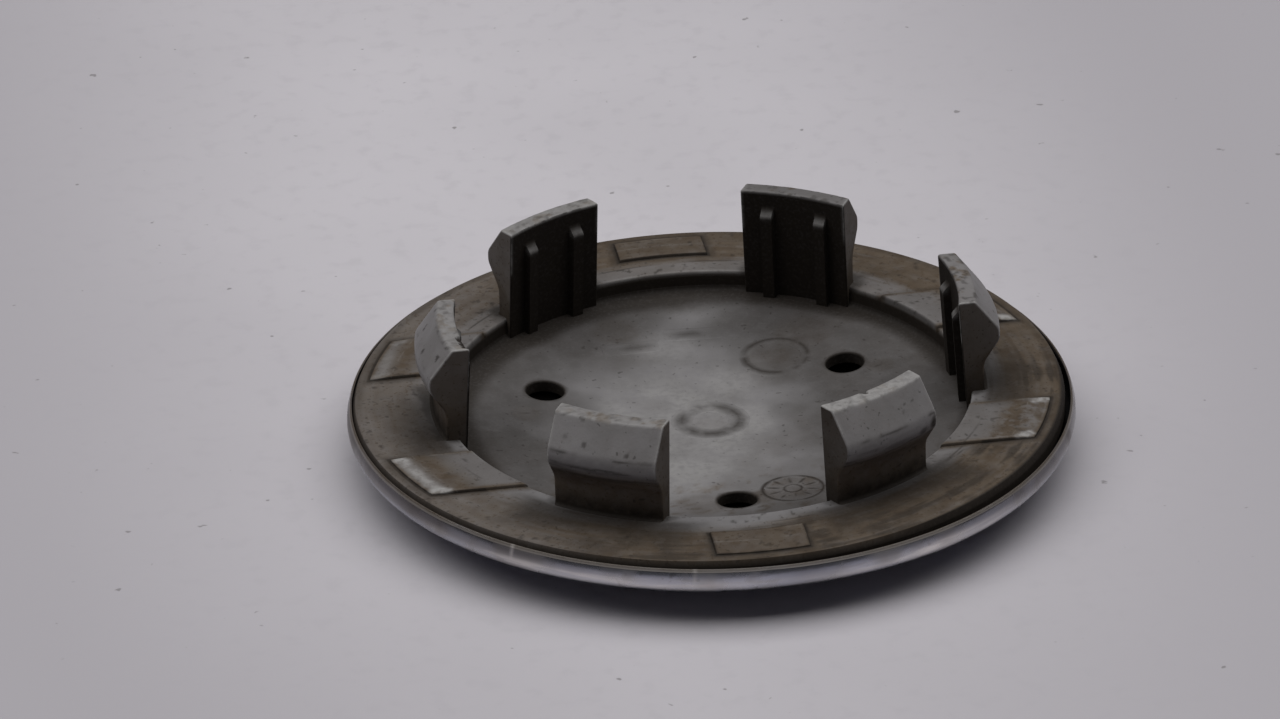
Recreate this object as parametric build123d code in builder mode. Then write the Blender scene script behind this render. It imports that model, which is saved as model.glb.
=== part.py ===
"""Wheel centre cap lying face down: a plated front face with a moulded clip body seated in it.

Millimetres, +Z up. The origin is the lowest point of the domed front face, on the face's own axis.
"""
import math
import os

from build123d import *

# Front face: a thin domed shell with a rim that stands round the body's edge
face_diameter = 62.0
dome_radius = 160.0
face_wall = 0.9
shoulder_radius = 1.1
rim_wall = 0.44
ledge_width = 0.58
lip_taper = 0.3
lip_drop = 0.2
lip_edge_chamfer = 0.04

# Fit of the body in the face: it has slid to one side of the rim and come up off the ledge at the other
rim_clearance = 0.26
tight_gap = 0.04
slide_angle = 145.7
loose_lift = 0.55
loose_angle = 4.0
floor_clearance = 0.1

# Body: flange, sunken well and dished floor, moulded with the clips
flange_thickness = 1.6
flange_edge_chamfer = 0.2
floor_wall = 1.0
well_draft = 3.0
well_corner_chamfer = 0.4

# Holes through the well floor, one in every second gap between clips
hole_count = 3
hole_diameter = 3.3
hole_inset = 7.3

# Snap clips: a leaning tongue with a barbed crest, undercut to a neck that fits the wheel's bore
clip_count = 6
clip_width = 9.6
neck_diameter = 46.9
neck_height = 2.58
barb_depth = 1.35
barb_rise = 2.09
crest_land = 1.06
tip_rise = 2.72
tip_setback = 0.7
clip_lean = 0.7
neck_land = 1.05
root_step = 0.4
crest_round = 1.2
tip_chamfer = 0.15
neck_round = 1.6
clip_foot_bevel = 0.4

# Stiffening ribs up the inner face of each clip
rib_width = 1.1
rib_spacing = 4.9
rib_depth = 0.65
rib_tip_drop = 1.6
rib_slope_length = 0.7

# Seat pads raised on the flange: four beside the first and fourth clips, two between the others
pad_height = 0.25
pad_end_height = 0.1
pad_edge_margin = 1.2
pad_ramp_length = 1.8
side_pad_width = 6.8
side_pad_gap = 2.5
end_pad_width = 7.8
end_pad_length = 3.6


def shell_height(depth, radius):
    """Height of the surface that lies the given depth inside the dome, at a radius from the axis."""
    return dome_radius - math.sqrt((dome_radius - depth) ** 2 - radius**2)


def shell_reach(depth, height):
    """Radius at which the surface that lies the given depth inside the dome passes a height."""
    return math.sqrt((dome_radius - depth) ** 2 - (dome_radius - height) ** 2)


def shell_arc(depth, inner_radius, outer_radius):
    """Arc of the surface that lies the given depth inside the dome, between two radii."""
    middle_radius = (inner_radius + outer_radius) / 2
    radii = (inner_radius, middle_radius, outer_radius)
    return ThreePointArc(*[(radius, shell_height(depth, radius)) for radius in radii])


def corner_at(section, point):
    """Corner of a section that lies at a point of it."""
    return section.vertices().sort_by_distance(point)[0]


# Heights and radii that follow from the sizes above
face_radius = face_diameter / 2
rim_inner_radius = face_radius - rim_wall
flange_radius = rim_inner_radius - rim_clearance
ledge_radius = rim_inner_radius - ledge_width
flange_bottom = shell_height(face_wall, ledge_radius)
flange_top = flange_bottom + flange_thickness
lip_top = flange_top - lip_drop
lip_radius = face_radius - lip_taper
seat_depth = face_wall + floor_clearance
floor_depth = seat_depth + floor_wall
well_depth = flange_top - floor_depth
neck_radius = neck_diameter / 2
well_radius = neck_radius - neck_land

# The body's own axis: off the face's axis by all of the clearance but the tight gap, and leaning as the
# flange does between the ledge and its loose side
slide = rim_clearance - tight_gap
body_lean = math.degrees(math.asin(loose_lift / (2 * flange_radius)))
hinge = Axis((0, 0, 0), Vector(0, -1, 0).rotate(Axis.Z, loose_angle))
body_up = Vector(0, 0, 1).rotate(hinge, body_lean)
flange_shift = Vector(slide, 0, 0).rotate(Axis.Z, slide_angle)
flange_centre = flange_shift + Vector(0, 0, flange_bottom + loose_lift / 2)
body_plane = Plane(
    origin=flange_centre - body_up * flange_bottom,
    x_dir=Vector(1, 0, 0).rotate(hinge, body_lean),
    z_dir=body_up,
)
body_axis = Axis(body_plane.origin, body_up)
body_section = Plane(origin=body_plane.origin, x_dir=body_plane.x_dir, z_dir=-body_plane.y_dir)

# Front face: dome, rounded shoulder, slim rim and a ledge for the flange
shoulder_centre_radius = face_radius - shoulder_radius
shoulder_height = shell_height(shoulder_radius, shoulder_centre_radius)
shoulder_start_radius = shoulder_centre_radius * dome_radius / (dome_radius - shoulder_radius)
shoulder_start_height = shell_height(0, shoulder_start_radius)
dome_slope = shoulder_start_radius / (dome_radius - shoulder_start_height)
shoulder_corner_height = shoulder_start_height + dome_slope * (face_radius - shoulder_start_radius)

with BuildPart() as front_face:
    with BuildSketch(Plane.XZ) as face_section:
        with BuildLine():
            shell_arc(0, 0, shoulder_start_radius)
            Bezier(
                (shoulder_start_radius, shoulder_start_height),
                (face_radius, shoulder_corner_height),
                (face_radius, shoulder_height),
            )
            TangentArc((face_radius, shoulder_height), (lip_radius, lip_top), tangent=(0, 1))
            Polyline(
                (lip_radius, lip_top),
                (rim_inner_radius, lip_top),
                (rim_inner_radius, flange_bottom),
                (ledge_radius, flange_bottom),
            )
            shell_arc(face_wall, 0, ledge_radius)
            Line((0, face_wall), (0, 0))
        make_face()
        lip_corners = face_section.vertices().group_by(Axis.Y)[-1]
        chamfer(lip_corners, lip_edge_chamfer)
    revolve(axis=Axis.Z)

# Flange, well and dished floor of the body, turned about its own axis
flange_seat_radius = shell_reach(seat_depth, flange_bottom)
well_floor_radius = well_radius - well_depth * math.tan(math.radians(well_draft))
well_floor_height = shell_height(floor_depth, well_floor_radius)

with BuildPart() as pan:
    with BuildSketch(body_section) as pan_section:
        with BuildLine():
            shell_arc(seat_depth, 0, flange_seat_radius)
            Polyline(
                (flange_seat_radius, flange_bottom),
                (flange_radius, flange_bottom),
                (flange_radius, flange_top - flange_edge_chamfer),
                (flange_radius - flange_edge_chamfer, flange_top),
                (well_radius, flange_top),
                (well_floor_radius, well_floor_height),
            )
            shell_arc(floor_depth, 0, well_floor_radius)
            Line((0, floor_depth), (0, seat_depth))
        make_face()
        chamfer(corner_at(pan_section, (well_floor_radius, well_floor_height)), well_corner_chamfer)
    revolve(axis=body_axis)

# Snap clips: a ring of the barbed section, kept only where the clips stand
root_depth = floor_depth - floor_wall / 2
clip_root_radius = well_radius - root_step
clip_root_height = shell_height(root_depth, clip_root_radius)
clip_tip_radius = clip_root_radius - clip_lean
clip_back_radius = neck_radius - tip_setback
clip_foot_radius = neck_radius + clip_foot_bevel
crest_radius = neck_radius + barb_depth
neck_top = flange_top + neck_height
crest_bottom = neck_top + barb_rise
crest_top = crest_bottom + crest_land
clip_top = crest_top + tip_rise

with BuildPart() as clips:
    with BuildSketch(body_section) as clip_section:
        with BuildLine():
            Polyline(
                (clip_foot_radius, flange_top),
                (neck_radius, flange_top + clip_foot_bevel),
                (neck_radius, neck_top),
                (crest_radius, crest_bottom),
                (crest_radius, crest_top),
                (clip_back_radius, clip_top),
                (clip_tip_radius, clip_top),
                (clip_root_radius, clip_root_height),
                (clip_foot_radius, clip_root_height),
                close=True,
            )
        make_face()
        fillet(corner_at(clip_section, (neck_radius, neck_top)), neck_round)
        fillet(corner_at(clip_section, (crest_radius, crest_bottom)), crest_round)
        fillet(corner_at(clip_section, (crest_radius, crest_top)), crest_round)
        chamfer(corner_at(clip_section, (clip_back_radius, clip_top)), tip_chamfer)
        chamfer(corner_at(clip_section, (clip_tip_radius, clip_top)), tip_chamfer)
    revolve(axis=body_axis)
    with BuildSketch(body_plane):
        with PolarLocations(crest_radius, clip_count):
            Rectangle(crest_radius, clip_width)
    extrude(amount=clip_top, mode=Mode.INTERSECT)

# Ribs: slim leaning webs that end in a slope below the clip's tip
lean = (clip_tip_radius - clip_root_radius) / (clip_top - clip_root_height)
rib_top = clip_top - rib_tip_drop
rib_shoulder = rib_top - rib_slope_length
rib_root_radius = clip_root_radius - rib_depth
rib_root_height = shell_height(root_depth, rib_root_radius)
rib_top_radius = clip_root_radius + lean * (rib_top - clip_root_height)
rib_shoulder_radius = rib_root_radius + lean * (rib_shoulder - clip_root_height)
rib_embed = (neck_radius - clip_root_radius) / 2

with BuildPart() as ribs:
    with BuildSketch(body_section):
        with BuildLine():
            Polyline(
                (rib_root_radius, rib_root_height),
                (rib_shoulder_radius, rib_shoulder),
                (rib_top_radius, rib_top),
                (rib_top_radius + rib_embed, rib_top),
                (clip_root_radius + rib_embed, rib_root_height),
                close=True,
            )
        make_face()
    revolve(axis=body_axis)
    with BuildSketch(body_plane):
        with PolarLocations(clip_root_radius, clip_count):
            with Locations((0, rib_spacing / 2), (0, -rib_spacing / 2)):
                Rectangle(clip_root_radius, rib_width)
    extrude(amount=clip_top, mode=Mode.INTERSECT)

# Seat pads: flat raised bars on the flange with a ramp down to their outer end
pad_top = flange_top + pad_height
pad_base = flange_top - pad_height
pad_outer_radius = flange_radius - pad_edge_margin
pad_ramp_radius = pad_outer_radius - pad_ramp_length
end_pad_radius = pad_outer_radius - end_pad_length
side_pad_spacing = clip_width + 2 * side_pad_gap + side_pad_width


def pad_section(inner_radius):
    """Section of the pads beside the body's axis, from an inner radius outwards."""
    with BuildSketch(body_section) as section:
        with BuildLine():
            Polyline(
                (inner_radius, pad_base),
                (inner_radius, pad_top),
                (pad_ramp_radius, pad_top),
                (pad_outer_radius, flange_top + pad_end_height),
                (pad_outer_radius, pad_base),
                close=True,
            )
        make_face()
    return section.sketch


with BuildPart() as side_pads:
    revolve(pad_section(well_radius), axis=body_axis)
    with BuildSketch(body_plane):
        with Locations((0, side_pad_spacing / 2), (0, -side_pad_spacing / 2)):
            Rectangle(2 * flange_radius, side_pad_width)
    extrude(amount=pad_top, mode=Mode.INTERSECT)

with BuildPart() as end_pads:
    revolve(pad_section(end_pad_radius), axis=body_axis)
    with BuildSketch(body_plane):
        Rectangle(end_pad_width, 2 * flange_radius)
    extrude(amount=pad_top, mode=Mode.INTERSECT)

# The body is one moulding: the pan with its clips, ribs and pads, and the holes through its floor
with BuildPart() as clip_body:
    add(pan.part)
    add(clips.part)
    add(ribs.part)
    add(side_pads.part)
    add(end_pads.part)
    with BuildSketch(body_plane):
        with PolarLocations(well_radius - hole_inset, hole_count, start_angle=180 / clip_count):
            Circle(hole_diameter / 2)
    extrude(amount=flange_top, mode=Mode.SUBTRACT)

os.makedirs("parts", exist_ok=True)
front_face.part.label = "front_face"
export_step(front_face.part, "parts/front_face.step")
clip_body.part.label = "clip_body"
export_step(clip_body.part, "parts/clip_body.step")
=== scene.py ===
"""Dressed look of a push-in wheel centre cap that lies face down on a pale table.

The plated face and the grey clip body are surfaces worked out on grids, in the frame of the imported
solids. Sizes are held in millimetres and turned into metres where a mesh is made.
"""

import logging
import math
from dataclasses import dataclass, field
from enum import Enum

import bpy
import numpy as np
from mathutils import Matrix, Vector


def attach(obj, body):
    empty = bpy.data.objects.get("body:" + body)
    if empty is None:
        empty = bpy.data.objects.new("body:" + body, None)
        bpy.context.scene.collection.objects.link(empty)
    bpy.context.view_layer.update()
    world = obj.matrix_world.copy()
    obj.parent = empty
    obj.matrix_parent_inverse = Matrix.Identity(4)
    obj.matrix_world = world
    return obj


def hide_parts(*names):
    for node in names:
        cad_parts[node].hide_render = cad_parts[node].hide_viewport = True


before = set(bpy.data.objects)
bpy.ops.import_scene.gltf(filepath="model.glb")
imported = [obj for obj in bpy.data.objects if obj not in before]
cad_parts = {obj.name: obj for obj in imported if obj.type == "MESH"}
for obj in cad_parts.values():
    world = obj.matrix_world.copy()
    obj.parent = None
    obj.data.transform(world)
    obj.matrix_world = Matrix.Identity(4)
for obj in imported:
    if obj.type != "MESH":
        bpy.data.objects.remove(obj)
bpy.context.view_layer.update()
MM = 0.001
LOG = logging.getLogger("centre_cap")
# Numbers of a Mix node's colour sockets, which share their names with its other sockets
MIX_BELOW, MIX_ABOVE, MIX_RESULT = 6, 7, 2
# Large odd numbers that scatter the hash of a lattice corner
HASH_PRIMES = np.array([73856093, 19349663, 83492791], dtype=np.uint64)
HASH_FIRST = np.uint64(0x9E3779B97F4A7C15)
HASH_SECOND = np.uint64(0xBF58476D1CE4E5B9)

Array = np.ndarray
Colour = tuple[float, float, float]
Triple = tuple[float, float, float]
Table = tuple[tuple[float, ...], ...]


class Slot(Enum):
    """Material slots of the record."""

    PLASTIC = "grey_plastic"
    PLATING = "plated_face"


class Node(Enum):
    """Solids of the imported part."""

    BODY = "clip_body"
    FACE = "front_face"


class Mask(Enum):
    """Wear, dirt and painted light and shade that a mesh carries as a number at each of its points: the grime
    mask is brown dirt and tarnish, and on the plating also painted shade; the line mask is dark dirt lines
    and also painted shade in recesses, under overhangs and on the clips' inner faces; the worn mask is rubbed
    wear and also painted highlights, reflections and sheen.
    """

    GRIME_AND_SHADE = "grime"
    LINE = "line"
    WEAR_AND_GLINT = "worn"


class Sum(Enum):
    """Ways to join two numbers in a material."""

    MULTIPLY = "MULTIPLY"
    MAXIMUM = "MAXIMUM"


def eased(values: Array, low: float, high: float) -> Array:
    """Share from 0 at low to 1 at high, with level ends.

    Args:
        values: Numbers to place between the two ends.
        low: Number that gives 0.
        high: Number that gives 1.

    Returns:
        The shares, by three times the square less twice the cube of the straight share.
    """
    share = np.clip((values - low) / (high - low), 0.0, 1.0)
    return share * share * (3.0 - 2.0 * share)


def ridge(values: Array, centre: float, width: float) -> Array:
    """Bell curve: e to the power of minus the square of the distance from the centre over the width."""
    return np.exp(-(((values - centre) / width) ** 2))


def off_angle(angles: Array, place_deg: float) -> Array:
    """Turn from a place to each angle, the short way round."""
    return np.angle(np.exp(1j * (angles - math.radians(place_deg))))


def angle_ridge(angles: Array, place_deg: float, spread_deg: float) -> Array:
    """Bell curve of the turn from a place."""
    return ridge(off_angle(angles, place_deg), 0.0, math.radians(spread_deg))


def speckle(points: Array, size: float, seed: int, octaves: int = 3) -> Array:
    """Smooth noise between 0 and 1.

    Each corner of a lattice has a value hashed from its whole numbers, and a point eases between the
    eight round it. Finer lattices of half the size are added at half the weight.

    Args:
        points: Points with three columns.
        size: Edge of the coarsest lattice, in the points' unit.
        seed: Number that picks another pattern.
        octaves: How many lattices are added.

    Returns:
        One number for each point.
    """
    total = np.zeros(points.shape[:-1])
    weight_sum = 0.0
    for octave in range(octaves):
        scaled = points / size * 2**octave
        cell = np.floor(scaled).astype(np.int64)
        part = scaled - cell
        ease = part * part * (3.0 - 2.0 * part)
        weight = 0.5**octave
        for corner in np.ndindex(2, 2, 2):
            at = (cell + np.array(corner)).astype(np.uint64)
            spread = at * HASH_PRIMES
            key = spread[..., 0] ^ spread[..., 1] ^ spread[..., 2]
            key = (key + np.uint64(seed * 977 + octave * 131)) * HASH_FIRST
            key ^= key >> np.uint64(29)
            key *= HASH_SECOND
            value = (key >> np.uint64(40)).astype(float) / 2.0**24
            share = np.prod(np.where(np.array(corner) == 1, ease, 1.0 - ease), axis=-1)
            total += weight * share * value
        weight_sum += weight
    return total / weight_sum


def rounded_path(corners: list[tuple[float, float]], radii: list[float], samples: int = 9) -> Array:
    """Runs between corners with an arc at each inner corner.

    The arc touches both runs at the radius times the tangent of half the turn from the corner, and is
    sampled as the quadratic curve between those two points, which is close to an arc for small turns.

    Args:
        corners: Points of the path.
        radii: Radius at each corner, 0 at the two ends.
        samples: Points on each arc.

    Returns:
        The points of the path, in two columns.
    """
    path = [np.array([corners[0]])]
    share = np.linspace(0.0, 1.0, samples)[:, None]
    for before, corner, after, radius in zip(corners, corners[1:], corners[2:], radii[1:]):
        middle = np.array(corner)
        incoming = middle - np.array(before)
        outgoing = np.array(after) - middle
        incoming = incoming / np.linalg.norm(incoming)
        outgoing = outgoing / np.linalg.norm(outgoing)
        turn = math.acos(float(np.clip(incoming @ outgoing, -1.0, 1.0)))
        reach = radius * math.tan(turn / 2)
        first = middle - incoming * reach
        last = middle + outgoing * reach
        path.append(first * (1 - share) ** 2 + 2 * middle * share * (1 - share) + last * share**2)
    path.append(np.array([corners[-1]]))
    return np.vstack(path)


def spaced(path: Array, step: float) -> Array:
    """Points a step apart along a path, by straight shares of its length, with its two ends kept."""
    lengths = np.concatenate([[0.0], np.cumsum(np.linalg.norm(np.diff(path, axis=0), axis=1))])
    count = max(2, int(round(lengths[-1] / step)) + 1)
    at = np.linspace(0.0, lengths[-1], count)
    return np.column_stack([np.interp(at, lengths, path[:, axis]) for axis in range(path.shape[1])])


def stations(knots: Array, step: float) -> Array:
    """All of the knots, with evenly placed points between those that are more than a step apart."""
    runs = [
        np.linspace(low, high, max(1, math.ceil((high - low) / step)), endpoint=False)
        for low, high in zip(knots[:-1], knots[1:])
    ]
    return np.append(np.concatenate(runs), knots[-1])


def grid_quads(rows: int, columns: int, rows_close: bool = False, columns_close: bool = False) -> Array:
    """Corners of the cells of a grid whose points are numbered row by row.

    Args:
        rows: Number of rows.
        columns: Number of columns.
        rows_close: Whether the last row joins the first.
        columns_close: Whether the last column joins the first.

    Returns:
        Four point numbers for each cell.
    """
    index = np.arange(rows * columns).reshape(rows, columns)
    if rows_close:
        index = np.vstack([index, index[:1]])
    if columns_close:
        index = np.hstack([index, index[:, :1]])
    cells = (index[:-1, :-1], index[:-1, 1:], index[1:, 1:], index[1:, :-1])
    return np.stack([cell.ravel() for cell in cells], axis=1)


def ring_points(angles: Array) -> Array:
    """Points of the unit circle: the cosine and the sine of each angle."""
    return np.column_stack([np.cos(angles), np.sin(angles)])


def band(first: Array, second: Array) -> Array:
    """Cells between two closed loops of the same number of points."""
    return np.stack([first, np.roll(first, -1), np.roll(second, -1), second], axis=1)


def fan(centre: int, loop: Array) -> Array:
    """Triangles from one point to a closed loop."""
    return np.stack([np.full(len(loop), centre), loop, np.roll(loop, -1)], axis=1)


@dataclass
class Surface:
    """Points in millimetres, cells, and wear and painted light of one piece, before it becomes a mesh."""

    points: Array
    quads: Array
    triangles: Array = field(default_factory=lambda: np.zeros((0, 3), int))
    masks: dict[Mask, Array] = field(default_factory=dict)
    sharp_deg: float = 40.0

    def build(self, name: str, material: bpy.types.Material, slot: Slot, node: Node) -> bpy.types.Object:
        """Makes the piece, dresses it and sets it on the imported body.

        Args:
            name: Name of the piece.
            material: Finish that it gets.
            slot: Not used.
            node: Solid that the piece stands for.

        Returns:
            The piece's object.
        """
        mesh = bpy.data.meshes.new(name)
        corners = np.concatenate([self.quads.ravel(), self.triangles.ravel()]).astype(np.int32)
        sizes = np.repeat([4, 3], [len(self.quads), len(self.triangles)]).astype(np.int32)
        starts = np.concatenate([[0], np.cumsum(sizes)[:-1]]).astype(np.int32)
        mesh.vertices.add(len(self.points))
        mesh.vertices.foreach_set("co", (self.points * MM).astype(np.float32).ravel())
        mesh.loops.add(len(corners))
        mesh.loops.foreach_set("vertex_index", corners)
        mesh.polygons.add(len(sizes))
        mesh.polygons.foreach_set("loop_start", starts)
        mesh.polygons.foreach_set("use_smooth", np.ones(len(sizes), bool))
        mesh.update(calc_edges=True)
        mesh.validate()
        mesh.set_sharp_from_angle(angle=math.radians(self.sharp_deg))
        for mask in Mask:
            values = self.masks.get(mask, np.zeros(len(self.points)))
            layer = mesh.attributes.new(mask.value, "FLOAT", "POINT")
            layer.data.foreach_set("value", np.clip(values, 0.0, 1.0).astype(np.float32).ravel())
        mesh.materials.append(material)
        piece = bpy.data.objects.new(name, mesh)
        bpy.context.scene.collection.objects.link(piece)
        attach(piece, "root")
        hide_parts(node.value)
        LOG.info("%s: %d points, %d cells", name, len(self.points), len(sizes))
        return piece


@dataclass(frozen=True)
class CapForm:
    """Sizes in millimetres that the pieces of the cap share."""

    dome_radius: float = 160.0
    face_wall: float = 0.9
    rim_inner_radius: float = 30.56
    ledge_width: float = 0.58
    floor_clearance: float = 0.1
    floor_wall: float = 1.0
    flange_thickness: float = 1.6
    flange_radius: float = 30.3
    well_radius: float = 22.4
    well_draft_deg: float = 3.0
    slide: float = 0.22
    slide_angle_deg: float = 145.7
    loose_lift: float = 0.55
    loose_angle_deg: float = 4.0
    clip_count: int = 6

    def shell(self, depth: float, radius: Array) -> Array:
        """Height of the sphere that lies a depth inside the dome, at a radius from the axis."""
        return self.dome_radius - np.sqrt((self.dome_radius - depth) ** 2 - np.square(radius))

    @property
    def flange_bottom(self) -> float:
        """Height of the ledge that the flange sits on."""
        return float(self.shell(self.face_wall, self.rim_inner_radius - self.ledge_width))

    @property
    def flange_top(self) -> float:
        """Height of the flange's upper side."""
        return self.flange_bottom + self.flange_thickness

    @property
    def seat_depth(self) -> float:
        """Depth of the body's underside inside the dome."""
        return self.face_wall + self.floor_clearance

    @property
    def floor_depth(self) -> float:
        """Depth of the well's floor inside the dome."""
        return self.seat_depth + self.floor_wall

    def wall_radius(self, height: Array) -> Array:
        """Radius of the drafted wall of the well at a height."""
        return self.well_radius - (self.flange_top - height) * math.tan(math.radians(self.well_draft_deg))

    @property
    def leaning(self) -> Array:
        """Turn of the body between its seated and its loose side.

        Returns:
            The matrix of the turn in the upright plane through the axis and the loose side, by the angle
            whose sine is the lift over the flange's diameter.
        """
        sine = self.loose_lift / (2 * self.flange_radius)
        cosine = math.sqrt(1.0 - sine**2)
        out = np.append(ring_points(np.radians([self.loose_angle_deg]))[0], 0.0)
        up = np.array([0.0, 0.0, 1.0])
        side = np.cross(up, out)
        turned_out = cosine * out + sine * up
        turned_up = cosine * up - sine * out
        return np.outer(turned_out, out) + np.outer(side, side) + np.outer(turned_up, up)

    def placed(self, points: Array) -> Array:
        """Points about the body's own axis moved to where the body lies in the face.

        Args:
            points: Points with three columns.

        Returns:
            The points turned about the middle of the flange's underside, slid, and lifted by half of the
            loose lift.
        """
        middle = np.array([0.0, 0.0, self.flange_bottom])
        slide = self.slide * ring_points(np.radians([self.slide_angle_deg]))[0]
        return (points - middle) @ self.leaning.T + middle + np.append(slide, self.loose_lift / 2)


@dataclass
class FrontFace:
    """Plated face: a thin dome with a rounded shoulder and a slim rim."""

    form: CapForm
    radius: float = 31.0
    shoulder_radius: float = 1.1
    lip_taper: float = 0.3
    lip_drop: float = 0.2
    lip_edge_round: float = 0.06
    lip_rows: int = 8
    steps: int = 720
    # Angle in degrees and strength of each nick
    nicks: Table = ((228.9, 0.7), (258.5, 0.4))
    nick_width: float = 0.09
    nick_depth: float = 0.05
    # Heights between which the painted reflection band on the rim fades, above and below
    reflection_band: tuple[float, float] = (4.7, 3.8)
    reflection_end: tuple[float, float] = (2.6, 3.4)
    # Angles round which the painted reflection is brightest, and its spread
    reflection_places_deg: tuple[float, ...] = (244.0, 302.0)
    reflection_spread_deg: float = 17.0
    # Angle and spread in degrees, and strength, of each dull place
    dull_places: Table = ((227.0, 7.0, 0.3), (277.0, 7.0, 0.42))
    # Cap on the painted shade and dullness of the plating
    most_dull_and_shade: float = 0.82
    front_deg: float = 270.0
    front_spread_deg: float = 42.0
    lip_band: float = 0.34
    # Strength of the painted highlight along the lip's top
    lip_highlight: float = 0.09
    blotch_size: float = 5.0

    def profile(self) -> Array:
        """Section from the pole of the dome, out round the rim and back to the pole inside.

        Returns:
            Radii and heights, along the dome's circle, the shoulder's arc, the leaning rim, the lip, the
            ledge and the inner sphere.
        """
        form = self.form
        centre = self.radius - self.shoulder_radius
        shoulder = float(form.shell(self.shoulder_radius, centre))
        start = centre * form.dome_radius / (form.dome_radius - self.shoulder_radius)
        dome = np.linspace(0.0, start, 26)
        turn = np.linspace(-math.acos((start - centre) / self.shoulder_radius), 0.0, 18)[1:]
        lip_top = form.flange_top - self.lip_drop
        rise = lip_top - shoulder
        bow = (self.lip_taper**2 + rise**2) / (2 * self.lip_taper)
        lean = np.linspace(0.0, math.asin((rise - self.lip_edge_round) / bow), 14)[1:]
        lip = rounded_path(
            [
                (self.radius - self.lip_taper + 0.01, lip_top - self.lip_edge_round),
                (self.radius - self.lip_taper, lip_top),
                (form.rim_inner_radius, lip_top),
                (form.rim_inner_radius, form.flange_bottom),
            ],
            [0.0, self.lip_edge_round, self.lip_edge_round, 0.0],
            7,
        )
        ledge = form.rim_inner_radius - form.ledge_width
        inner = np.linspace(ledge, 0.0, 16)
        return np.vstack(
            [
                np.column_stack([dome, form.shell(0.0, dome)]),
                np.column_stack([centre, shoulder]) + self.shoulder_radius * ring_points(turn),
                np.column_stack([self.radius - bow, shoulder]) + bow * ring_points(lean),
                lip[1:],
                np.column_stack([inner, form.shell(form.face_wall, inner)]),
            ]
        )

    def wear(self, angle: Array, points: Array, outside: Array) -> tuple[Array, Array]:
        """Painted reflections and highlights, painted shade, tarnish and dirt of the rim.

        The plating has a painted reflection band, brightest round a few angles and lifted just below the lip
        at the front, and a painted highlight along the lip. It is painted darker away from the front as
        painted shade, is dull in streaks and at a few more angles, and is brown in a band under the lip.

        Args:
            angle: Angle of each column.
            points: Points by row and column.
            outside: 1 on the rim and 0 on the dome, by row and column.

        Returns:
            How much each point is lightened by painted reflection and highlight, and how much it is darkened
            by painted shade, dullness and brown dirt.
        """
        height = points[..., 2]
        top = height.max()
        grain = speckle(points, 2.4, 5)
        blotch = speckle(points * np.array([1.0, 1.0, 2.0]), self.blotch_size, 6)
        streak = speckle(points * np.array([0.3, 0.3, 4.0]), 1.0, 7)
        # Painted reflection of the table in the rim's lower band, brightest round a few angles
        bright = np.zeros_like(angle)
        for place in self.reflection_places_deg:
            bright = np.maximum(bright, angle_ridge(angle, place, self.reflection_spread_deg))
        in_front = angle_ridge(angle, self.front_deg, self.front_spread_deg)
        rubbed_and_glint = eased(height, *self.reflection_band) * eased(height, *self.reflection_end)
        rubbed_and_glint = rubbed_and_glint * (0.65 + 0.35 * eased(blotch, 0.38, 0.6)) * (0.15 + 0.75 * bright)
        rubbed_and_glint = rubbed_and_glint * (0.7 + 0.5 * eased(streak, 0.35, 0.65))
        # Painted reflection lifted just below the lip at the front
        rubbed_and_glint = rubbed_and_glint + 0.2 * ridge(height, top - 0.3, 0.2) * in_front
        brown = eased(height, top - self.lip_band, top - self.lip_band + 0.12)
        # Painted highlight along the lip's rounded top edge
        pale = self.lip_highlight * brown * eased(height, top - 0.06, top - 0.12) * (0.7 + 0.6 * blotch)
        rubbed_and_glint = (rubbed_and_glint + pale) * outside
        brown = brown * (0.9 + 0.2 * grain)
        # Painted shade: the plating is darker away from the front; dull streaks and a few dull places are
        # added to it
        dull_and_shade = (0.08 + 0.85 * (1.0 - in_front)) * eased(height, 3.2, 4.2) * (0.8 + 0.4 * grain)
        dull_and_shade = np.maximum(dull_and_shade, 0.32 * eased(streak, 0.52, 0.7)) * eased(height, 2.2, 3.0)
        hazed = np.zeros_like(angle)
        for place, spread, strength in self.dull_places:
            hazed = np.maximum(hazed, strength * angle_ridge(angle, place, spread))
        dull_and_shade = np.maximum(dull_and_shade, hazed * eased(height, 2.2, 3.0) * (0.7 + 0.6 * grain))
        return rubbed_and_glint, np.maximum(np.minimum(dull_and_shade, self.most_dull_and_shade), brown) * outside

    def surface(self) -> Surface:
        """The section turned about the axis, closed at both poles, with small dents across the rim.

        Returns:
            The surface. A dent moves the rim inwards by a bell curve of the arc from the dent's angle.
        """
        section = self.profile()
        rings = section[1:-1]
        angle = np.linspace(0.0, 2 * math.pi, self.steps, endpoint=False)
        radius = np.repeat(rings[:, :1], self.steps, axis=1)
        height = np.repeat(rings[:, 1:], self.steps, axis=1)
        outside = eased(radius, self.radius - 1.2, self.radius - 0.3)
        nick = np.zeros_like(radius)
        for place, strength in self.nicks:
            arc = self.radius * off_angle(angle, place)
            nick = np.maximum(nick, strength * ridge(arc, 0.0, self.nick_width))
        top = section[:, 1].max()
        nick = nick * outside * ridge(height, top - 0.5, 0.45)
        radius = radius - self.nick_depth * nick
        points = np.stack([radius * np.cos(angle), radius * np.sin(angle), height], axis=-1)
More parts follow.
